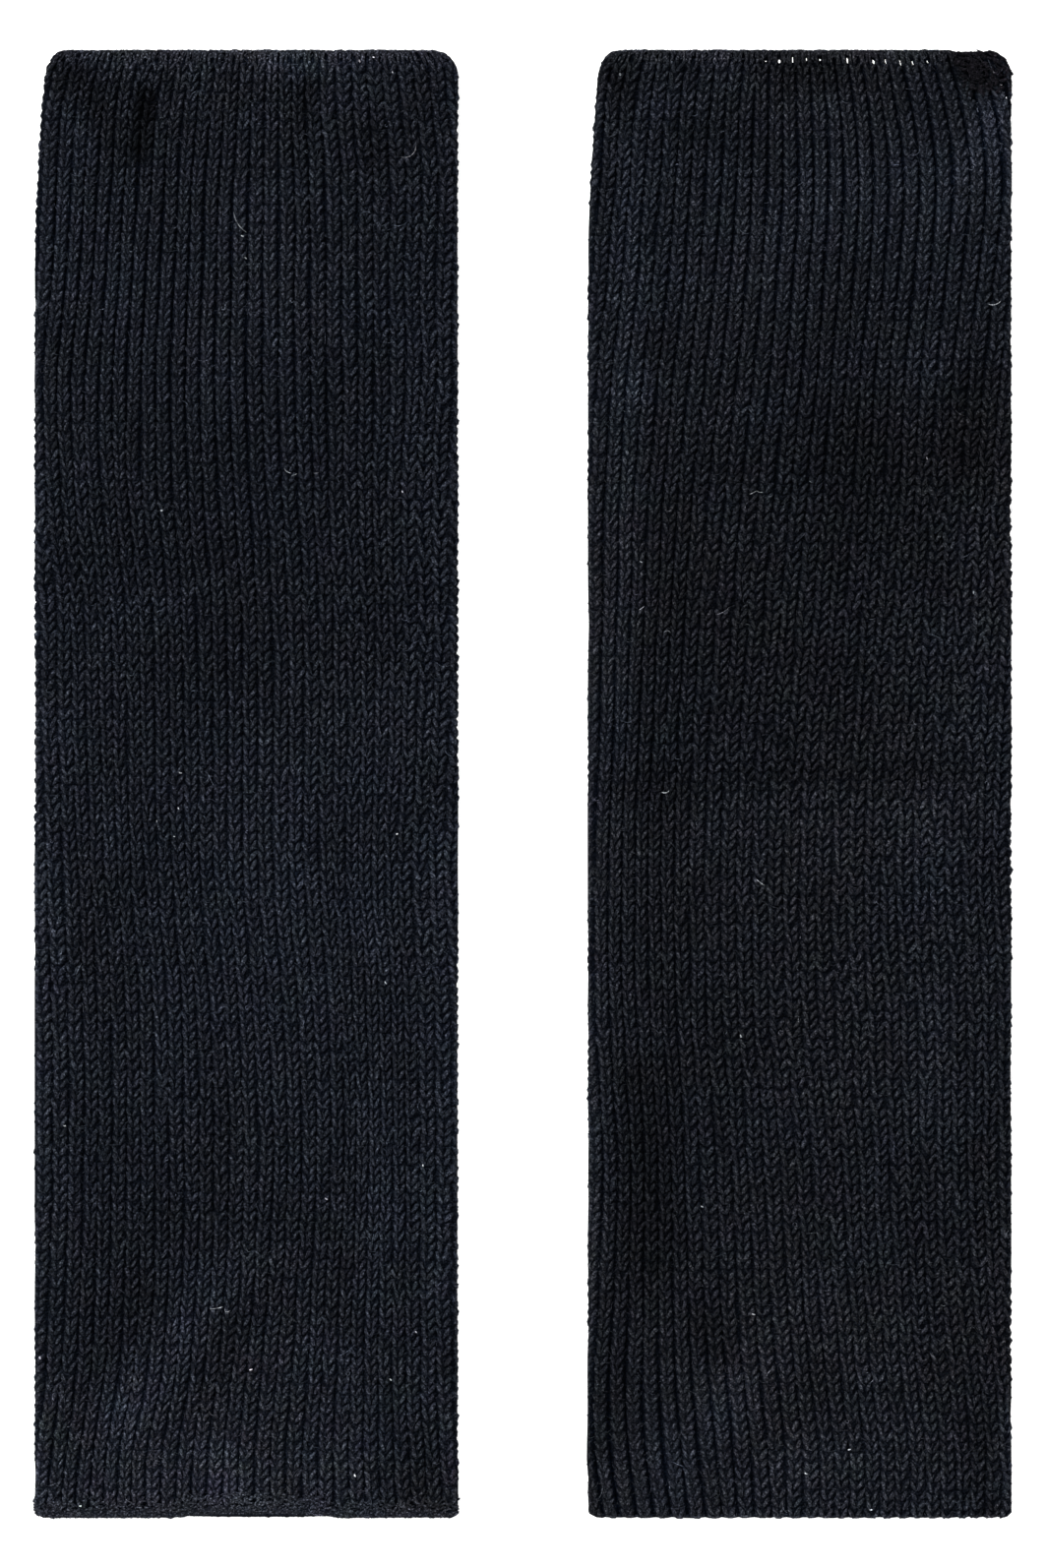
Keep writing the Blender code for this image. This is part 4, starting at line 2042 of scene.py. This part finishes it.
@dataclass
class LintBits(LegPart):
    """Pale bits of fluff caught on the upper layer, bent and lifted along their length."""

    lift: float = 1.0
    stations: int = 9
    ripple: float = 0.12
    ripple_pace: float = 9.0
    thinning: float = 0.7

    def build(self) -> Piece:
        """Builds all bits as one piece.

        Returns:
            The piece.
        """
        share = np.linspace(0.0, 1.0, self.stations)
        middle = slice(self.stations // 2, self.stations // 2 + 1)
        across, down, length, turn, curl, width = by_column(self.leg.lint)[..., None]
        heading = np.radians(turn) + np.radians(curl) * (share - 0.5)
        step = length / (self.stations - 1)
        along_across = np.cumsum(np.sin(heading) * step, axis=1)
        along_down = np.cumsum(np.cos(heading) * step, axis=1)
        downs = down + along_down - along_down[:, middle]
        places = self.leg.wales_at(across + along_across - along_across[:, middle], downs)
        out = self.lift + self.ripple * np.sin(share * self.ripple_pace)
        radius = width * (1.0 - self.thinning * np.abs(2 * share - 1) ** 3)
        tone = np.linspace(-1, 1, len(self.leg.lint))
        strands = Strands(places, downs, out, radius, np.ones(1), tone)
        finish = self.leg.palette.lint
        return self.lay_yarn("lint", strands, YarnSection.ROUND, finish, "knit_yarn")


LEFT_LEG = LaidLeg(
    name="left",
    centre=-75.4,
    wanders=table(
        Wander,
        (0, 1.8, -0.5, -4.6, -8.2, -7.2),
        (14, -0.2, -2.7, -5.1, -7.6, -5.8),
        (34, -0.3, -3.3, -5.9, -6.0, -4.1),
        (60, -1.0, -4.3, -6.2, -5.4, -4.6),
        (90, -3.7, -5.9, -6.7, -5.2, -4.2),
        (120, -2.5, -5.6, -5.7, -4.4, -5.6),
        (150, -0.1, -2.8, -3.7, -3.2, -5.3),
        (185, 0.7, -2.0, -3.1, -2.9, -5.5),
        (220, 1.9, -1.3, -3.2, -3.1, -6.9),
        (260, 3.3, 1.4, -0.3, -0.8, -5.2),
        (300, 3.6, 1.8, 1.4, 0.1, -4.8),
        (340, 2.4, 1.4, -0.2, -1.4, -4.7),
        (362, 1.4, -0.3, -2.3, -2.2, -4.5),
        (382, -1.1, -4.2, -4.1, -3.3, -3.5),
        (400, -2.6, -4.9, -4.7, -2.9, -2.2),
    ),
    openings=table(
        Opening,
        (0, 0.3, 0.2, 0.4),
        (20, 0.4, 0.5, 0.2),
        (40, 0.8, 1.0, 0.1),
        (90, 0.8, 0.9, 0.2),
        (130, -0.3, 0.6, -0.5),
        (180, 0.0, 0.3, -0.2),
        (230, 0.1, 0.2, -0.1),
        (290, 0.4, 0.3, 0.1),
        (340, 0.3, 0.3, 0.1),
        (370, 0.6, 0.4, 0.4),
        (392, 0.7, 0.6, 0.3),
    ),
    # Each fold shapes the upper layer and also paints light on its ridge or shade in its trough;
    # some, such as the broad ridge along the hem, are there mostly for that painted light.
    folds=table(
        Fold,
        (-27.5, 13, -28.8, 29, 4.4, -2.3),
        (-25.7, 13, -26.4, 19, 3.4, -0.9),
        (-46, 4, 50, 4, 4.5, 0.4),
        (-38, 14, -35, 27, 9, -0.45),
        (-31, 3, -31, 8, 4, 0.5),
        (6, 5, 18, 6, 6, 0.9),
        (18, 9, 17, 16, 4.5, -0.9),
        (10, 20, 14, 36, 8, 0.3),
        (24, 8, 24, 44, 8, 0.2),
        (-50, 26, 52, 26, 13, -0.2),
        (35.5, 19, 34, 30, 5, -0.7),
        (40, 20, 38, 28, 7, -0.35),
        (-54, 5, -43, 12, 9, -0.85),
        (-49, 35, -49, 66, 9, 0.4),
        (-36, 58, -36, 72, 10, 0.4),
        (4, 42, 7, 72, 14, 0.35),
        (-8, 84, -8, 94, 12, 0.5),
        (21, 86, 21, 118, 9, -0.55),
        (-52, 228, -50, 245, 10, 0.4),
        (-22, 237, -8, 237, 12, 0.3),
        (36, 282, 36, 342, 10, 0.5),
        (-50, 306, -50, 318, 9, 0.3),
        (48, 380, 50, 392, 12, -0.9),
        (37.5, 388, 37.5, 396, 5, -0.7),
        (-6, 394, 8, 394, 6, 0.45),
        (-8, 384, -6, 392, 11, 0.5),
        (48, 6, 52, 16, 6, -0.4),
        (-49, 15, -44, 24, 8, 0.7),
        (14, 15, 14.5, 26, 5.5, -0.6),
        (1.5, 21, 1.5, 28, 6, 0.3),
        (-18, 4, -12, 11, 7, 0.3),
        (22, 5, 29, 5, 6, 0.45),
        (-5, 3, -5, 6, 5, -0.35),
        (46.5, 15, 46.5, 23, 6, -0.4),
        (28, 33, 41, 34, 6, -0.3),
        (-10, 110, 2, 168, 40, -0.4),
        (-50, 138, -8, 138, 12, -0.3),
        (36, 140, 36, 168, 9, -0.3),
        (20, 195, 8, 265, 40, 0.4),
        (22, 206, 22, 218, 10, -0.35),
        (36, 232, 36, 244, 10, 0.4),
        (-22, 254, -22, 270, 10, 0.4),
        (-45, 244, -35, 232, 10, -0.4),
        (-40, 356, -16, 310, 11, -0.35),
        (-32, 371, -3, 331, 12, 0.9),
        (-9, 357, 4, 342, 8, -0.5),
        (38, 372, 46, 390, 13, -0.4),
        (34, 80, 34, 130, 12, -0.4),
        (54, 215, 54, 335, 12, 0.5),
        (-54, 185, -54, 330, 10, 0.3),
        (-50, 182, -50, 194, 10, 0.4),
        (-36, 208, -36, 216, 10, 0.35),
        (-8, 275, -6, 340, 9, -0.35),
        (5, 352, 30, 360, 16, 0.35),
        (-50, 393, 52, 393, 46, 0.8),
    ),
    dips=(
        EdgeDip(LegEnd.HEM, Layer.UPPER, 3.0, 24.0, 24.0, 1.1),
        EdgeDip(LegEnd.HEM, Layer.LOWER, 3.0, 24.0, 24.0, -0.4),
    ),
    slots=(),
    corners=(),
    lint=table(
        Lint,
        (-2.2, 47.5, 6.8, 28, 50, 0.06),
        (-0.9, 51.0, 0.8, 75, 60, 0.13),
        (45.1, 28.9, 6.0, -45, -110, 0.045),
        (31.0, 3.5, 0.7, 20, 40, 0.20),
        (34.8, 2.4, 0.6, 70, 40, 0.17),
        (39.9, 6.4, 0.6, 10, 40, 0.17),
        (0.0, 57.0, 0.69, 40, 90, 0.17),
        (11.2, 115.0, 2.4, 50, 60, 0.07),
        (13.2, 115.9, 1.6, 110, 10, 0.07),
        (19.2, 115.4, 1.4, 95, 10, 0.05),
        (-22.9, 125.6, 0.6, 90, 40, 0.17),
        (42.6, 120.5, 0.6, 20, 40, 0.17),
        (-17.8, 197.0, 0.74, 70, 50, 0.17),
        (-18.3, 206.7, 0.6, 20, 40, 0.17),
        (-24.2, 210.1, 0.5, 0, 40, 0.12),
        (-19.4, 214.3, 0.5, 90, 40, 0.12),
        (41.2, 213.6, 0.65, 100, 60, 0.17),
        (38.0, 254.1, 0.78, 30, 60, 0.17),
        (-49.2, 293.0, 0.65, 80, 50, 0.17),
        (48.2, 303.8, 0.69, 10, 60, 0.17),
        (21.9, 312.9, 0.83, 60, 40, 0.17),
        (-8.0, 342.6, 3.6, 97, 20, 0.045),
        (-5.2, 343.6, 2.2, 60, 200, 0.045),
        (46.3, 349.1, 0.69, 45, 60, 0.17),
        (-55.6, 356.1, 0.65, 0, 60, 0.17),
        (1.5, 359.3, 0.83, 100, 90, 0.17),
        (39.4, 362.0, 0.69, 50, 40, 0.17),
        (29.7, 388.0, 0.83, 20, 60, 0.17),
        (-44.9, 396.3, 0.74, 90, 60, 0.17),
    ),
    warmths=table(
        Warmth,
        (0, 0.7),
        (30, 0.3),
        (150, 0.15),
        (310, 0.35),
        (390, 1.0),
    ),
    seed=11,
    hem=HemStyle.ROLLED,
    knit_end=396.4,
)

RIGHT_LEG = LaidLeg(
    name="right",
    centre=75.4,
    wanders=table(
        Wander,
        (0, 6.4, 5.5, 2.1, -0.9, 0.8),
        (14, 5.0, 5.0, 4.0, 2.2, 4.8),
        (34, 4.7, 4.9, 5.3, 5.0, 7.6),
        (60, 3.4, 3.8, 4.5, 4.0, 5.2),
        (90, 0.4, 0.8, 2.4, 1.3, 2.4),
        (120, -1.5, -2.4, -0.3, 0.2, 0.5),
        (150, -2.0, -4.5, -2.9, -1.7, -1.2),
        (185, -2.9, -6.5, -5.3, -3.9, -2.8),
        (220, -4.2, -7.7, -6.8, -5.4, -3.8),
        (260, -4.2, -7.0, -6.4, -4.5, -2.2),
        (300, -2.0, -4.9, -3.5, -3.0, -2.2),
        (340, -3.2, -3.5, -1.3, -1.1, -0.7),
        (362, -4.6, -2.4, 0.8, 0.7, 1.2),
        (382, -4.4, -0.4, 3.0, 2.6, 2.8),
        (400, -1.8, 1.5, 2.9, 3.0, 2.7),
    ),
    openings=table(
        Opening,
        (0, 0.7, 0.5, 1.4),
        (20, 0.4, 0.8, 1.2),
        (40, 0.3, 1.2, 0.8),
        (90, 0.6, 0.6, 0.35),
        (130, 0.5, 0.2, -0.3),
        (180, 1.0, -0.1, -0.4),
        (230, 0.8, 0.0, 0.0),
        (290, 0.6, 0.0, -0.1),
        (340, 0.5, 0.3, -0.3),
        (370, 1.4, 0.5, 0.0),
        (392, 1.7, 0.2, 0.0),
    ),
    # Each fold shapes the upper layer and also paints light on its ridge or shade in its trough.
    folds=table(
        Fold,
        (-46, 30, -47, 94, 8, 0.75),
        (-47, 94, -50, 174, 8, 0.6),
        (-50, 174, -54, 255, 7, 0.25),
        (-54, 255, -54, 335, 6, 0.3),
        (-38, 50, -33, 100, 8, -0.15),
        (-28, 40, 48, 40, 24, 0.3),
        (-8, 64, -4, 64, 12, 0.35),
        (-50, 201, 50, 196, 7, -0.45),
        (-44, 212, 48, 207, 10, 0.15),
        (15, 35, -14, 60, 12, 0.3),
        (36, 34, 36, 44, 9, 0.3),
        (-36, 60, -36, 68, 10, 0.35),
        (55, 17, 47, 30, 8, 0.9),
        (47, 30, 42, 42, 8, 0.4),
        (26, 22, 27, 38, 7, 0.3),
        (-22, 7, -11, 8, 8, 0.6),
        (-33, 20, -12, 26, 8, -0.3),
        (4, 17, 12, 15, 7, 0.35),
        (44, 3, 50, 8, 9, -0.9),
        (-49, 6, -47, 12, 6, -0.3),
        (-9, 6.5, 8, 7.2, 8, -0.85),
        (2, 3, 8, 3, 4.5, -0.5),
        (-22, 20, -8, 30, 9, -0.25),
        (-38, 78, -37, 83, 6, -0.6),
        (47, 92, 45, 108, 13, -0.9),
        (12, 96, 20, 130, 28, -0.5),
        (6, 88, 38, 86, 11, 0.45),
        (-22, 84, -22, 94, 10, -0.35),
        (-22, 182, -22, 194, 10, -0.3),
        (-42, 283, -40, 331, 14, -0.9),
        (-25, 345, -22, 353, 8, -0.6),
        (-22, 372, -6, 352, 12, 0.8),
        (2, 384, 28, 378, 12, 0.5),
        (22, 334, 28, 358, 10, 0.3),
        (-24, 362, -20, 366, 9, 0.3),
        (34, 310, 34, 324, 11, -0.4),
        (-34, 112, -36, 210, 13, -0.45),
        (-36, 210, -40, 320, 14, -0.2),
        (-20, 113, 50, 113, 15, -0.45),
        (-15, 150, 12, 170, 26, -0.4),
        (-28, 235, -22, 290, 20, -0.3),
        (-54, 5, -48, 10, 9, -0.9),
        (35, 130, 36, 146, 10, -0.35),
        (-14, 182, -4, 192, 11, -0.35),
        (50, 182, 50, 196, 9, 0.4),
        (50, 158, 50, 168, 10, 0.3),
        (50, 304, 50, 320, 11, -0.45),
        (50, 376, 50, 396, 11, -0.4),
        (34, 208, 36, 242, 11, 0.4),
        (6, 232, 8, 242, 9, -0.3),
        (7, 206, 7, 218, 10, 0.3),
        (36, 258, 36, 292, 10, 0.35),
        (-8, 138, 8, 138, 12, -0.25),
        (22, 284, 34, 286, 10, 0.25),
        (-50, 335, -50, 366, 9, -0.45),
        (-34, 337, -34, 339, 8, 0.3),
        (6, 340, 18, 364, 11, 0.45),
        (-36, 382, -34, 388, 9, 0.6),
        (-44, 396, 30, 396, 26, 0.4),
        (-56.5, 378, -56.5, 398, 4.5, -0.6),
        (56.5, 372, 56.5, 396, 5, 0.6),
        (56.5, 26, 56.5, 46, 5, 0.6),
        (8, 18, 17, 20, 8, 0.4),
        (-44, 13, -30, 14, 7, 0.3),
        (48, 19, 53, 24, 6, 0.35),
        (-9, 31, -7, 36, 7, -0.3),
        (-30.7, 22, -30.7, 31, 6, -0.35),
        (40, 27, 40, 33, 6, 0.3),
        (46.5, 29, 46.5, 33, 5, -0.3),
    ),
    dips=(
        EdgeDip(LegEnd.TOP, Layer.LOWER, 12.5, 36.0, 36.0, 6.2),
    ),
    slots=table(
        Slot,
        (-9.3, 3.2, 0.24, 0.6, 0.0),
        (-5.6, 3.2, 0.5, 0.95, 0.0),
        (-1.9, 2.85, 0.6, 1.5, 0.0),
        (1.7, 2.8, 0.2, 0.9, -0.25),
        (5.5, 2.7, 0.24, 0.5, 0.0),
        (12.9, 2.95, 0.42, 1.4, 0.1),
        (20.0, 3.4, 0.6, 1.2, 0.2),
        (23.4, 3.3, 0.5, 1.2, 0.2),
        (27.2, 3.7, 0.46, 1.8, 0.35),
        (30.6, 3.75, 0.3, 1.1, 0.3),
        (34.7, 3.45, 0.2, 0.6, 0.3),
    ),
    corners=(TurnedCorner(49.7, 8.4, 11.4),),
    lint=table(
        Lint,
        (-12.9, 120.8, 2.1, 115, 10, 0.08),
        (-11.1, 120.6, 1.8, 72, 60, 0.07),
        (2.9, 117.8, 0.9, 60, 40, 0.07),
        (34.5, 111.4, 0.69, 20, 50, 0.17),
        (-43.3, 139.6, 0.65, 60, 60, 0.17),
        (47.1, 147.9, 0.74, 0, 30, 0.17),
        (-49.0, 6.8, 0.7, 30, 40, 0.25),
        (53.0, 69.6, 3.5, 100, 70),
        (52.6, 6.2, 0.7, 20, 40, 0.06),
        (54.6, 9.8, 0.6, 60, 40, 0.06),
        (55.6, 13.4, 0.6, 10, 40, 0.06),
        (-36.1, 158.3, 2.2, 95, -130, 0.06),
        (-43.1, 152.2, 2.0, 125, 20, 0.05),
        (-21.1, 153.3, 4.0, 115, 30, 0.04),
        (-36.6, 202.4, 2.2, 95, 80),
        (-10.9, 226.8, 2.6, 52, 15, 0.08),
        (-16.2, 268.6, 0.74, 20, 60, 0.17),
        (-26.7, 315.0, 0.69, 50, 60, 0.17),
        (-12.7, 344.3, 0.78, 70, 60, 0.17),
        (13.3, 381.0, 0.74, 100, 60, 0.17),
        (1.5, 387.5, 0.78, 60, 60, 0.17),
        (19.2, 397.4, 0.83, 90, 40, 0.17),
    ),
    warmths=table(
        Warmth,
        (0, 0.4),
        (30, 0.0),
        (80, 0.25),
        (130, 0.55),
        (170, 0.5),
        (220, 0.3),
        (290, 0.4),
        (400, 0.5),
    ),
    seed=23,
    hem=HemStyle.OPEN,
    knit_end=399.5,
)


@dataclass
class LegWarmer:
    """One whole leg warmer."""

    leg: LaidLeg
    hem_patches: tuple[FuzzPatch, ...]
    flat: Pair = (0.235, 0.400)

    def build(self) -> None:
        """Builds all its pieces and hides the leg's parts from model.glb."""
        name = self.leg.name
        palette = self.leg.palette
        ground = Ground(self.leg).build()
        edge = LinkedEdge(self.leg).build()
        if self.leg.hem is HemStyle.ROLLED:
            hem = RolledHem(self.leg, self.hem_patches).build()
        else:
            hem = OpenHem(self.leg).build()
        fibres = LooseFibres(
            self.leg, "fibres", palette.fibre, count=9000, width=0.042, length=1.6, curl=0.5
        )
        curls = LooseFibres(
            self.leg,
            "curls",
            palette.bright_fibre,
            count=220,
            width=0.065,
            length=2.0,
            curl=1.6,
            stations=6,
        )
        loose = [fibres.build(), curls.build()]
        others = [
            *Stitches(self.leg).build(),
            *edge,
            *hem,
            *loose,
            *InnerSide(self.leg).build(),
            *SlottedBand(self.leg).build(),
            LintBits(self.leg).build(),
        ]
        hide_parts(f"{name}_tube")
        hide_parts(f"{name}_top_edge")
        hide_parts(f"{name}_hem")


@dataclass(frozen=True)
class PaperFinish:
    """The floor's plain pale paper, which glows a little so that it shows as white."""

    name: str = "pale_paper"
    lightness: Pair = (0.90, 0.93)
    grain: float = 900.0
    roughness: float = 0.9
    specular: float = 0.1
    glow: float = 0.4

    def material(self) -> bpy.types.Material:
        """Builds the material.

        Returns:
            A matt paper with a fine grain.
        """
        made = bpy.data.materials.new(self.name)
        made.use_nodes = True
        nodes, links = made.node_tree.nodes, made.node_tree.links
        shader = nodes["Principled BSDF"]
        set_inputs(shader, {"Roughness": self.roughness, "Specular IOR Level": self.specular})
        set_inputs(shader, {"Emission Color": WHITE, "Emission Strength": self.glow})
        grain = nodes.new("ShaderNodeTexNoise")
        set_inputs(grain, {"Scale": self.grain})
        ramp = nodes.new("ShaderNodeMapRange")
        set_inputs(ramp, {"To Min": self.lightness[0], "To Max": self.lightness[1]})
        links.new(grain.outputs["Fac"], ramp.inputs["Value"])
        links.new(ramp.outputs["Result"], shader.inputs["Base Color"])
        return made


@dataclass
class Studio:
    """The plain pale floor, the soft lights and the camera straight above."""

    frame_height: float = 427.64
    lens: float = 100.0
    sensor: float = 36.0
    face_height: float = 2.8
    floor_size: float = 6.0
    paper: PaperFinish = PaperFinish()
    sky_strength: float = 0.85

    def floor(self) -> None:
        """Lays the floor."""
        half = self.floor_size / 2
        points = np.array([(-half, -half, 0), (half, -half, 0), (half, half, 0), (-half, half, 0)])
        floor = make_object("floor", points, np.array([[0, 1, 2, 3]]))
        floor.data.materials.append(self.paper.material())

    def light(self, name: str, place: Values, size: float, power: float) -> None:
        """Hangs one soft square lamp that looks at the middle of the pair.

        Args:
            name: The lamp's name.
            place: Where it hangs, in metres.
            size: The side of its square, in metres.
            power: Its power in watts.
        """
        data = bpy.data.lights.new(name, "AREA")
        data.size = size
        data.energy = power
        lamp = bpy.data.objects.new(name, data)
        lamp.location = place
        aim = -lamp.location.normalized()
        lamp.rotation_euler = aim.to_track_quat("-Z", "Y").to_euler()
        bpy.context.scene.collection.objects.link(lamp)

    def camera(self) -> None:
        """Hangs the camera straight above the middle of the pair."""
        data = bpy.data.cameras.new("camera")
        data.lens = self.lens
        data.sensor_width = self.sensor
        camera = bpy.data.objects.new("camera", data)
        distance = self.lens * self.frame_height / self.sensor
        camera.location = (0.0, 0.0, (distance + self.face_height) * MM)
        bpy.context.scene.collection.objects.link(camera)
        bpy.context.scene.camera = camera

    def build(self) -> None:
        """Sets up the floor, the sky, the lamps and the camera."""
        self.floor()
        world = bpy.data.worlds.new("sky")
        world.use_nodes = True
        sky = world.node_tree.nodes["Background"]
        set_inputs(sky, {"Color": WHITE, "Strength": self.sky_strength})
        bpy.context.scene.world = world
        bpy.context.scene.view_settings.view_transform = "Standard"
        self.light("key", (-2.0, 2.1, 2.3), 1.4, 178.0)
        self.light("fill", (0.5, -1.1, 1.1), 1.0, 9.0)
        self.camera()


def main() -> None:
    """Builds both legs and the studio."""
    logging.basicConfig(level=logging.INFO, format="%(message)s")
    Studio().build()
    LegWarmer(LEFT_LEG, (FuzzPatch(2.0, 22.0, 5.2),)).build()
    LegWarmer(RIGHT_LEG, ()).build()


if __name__ == "__main__":
    main()
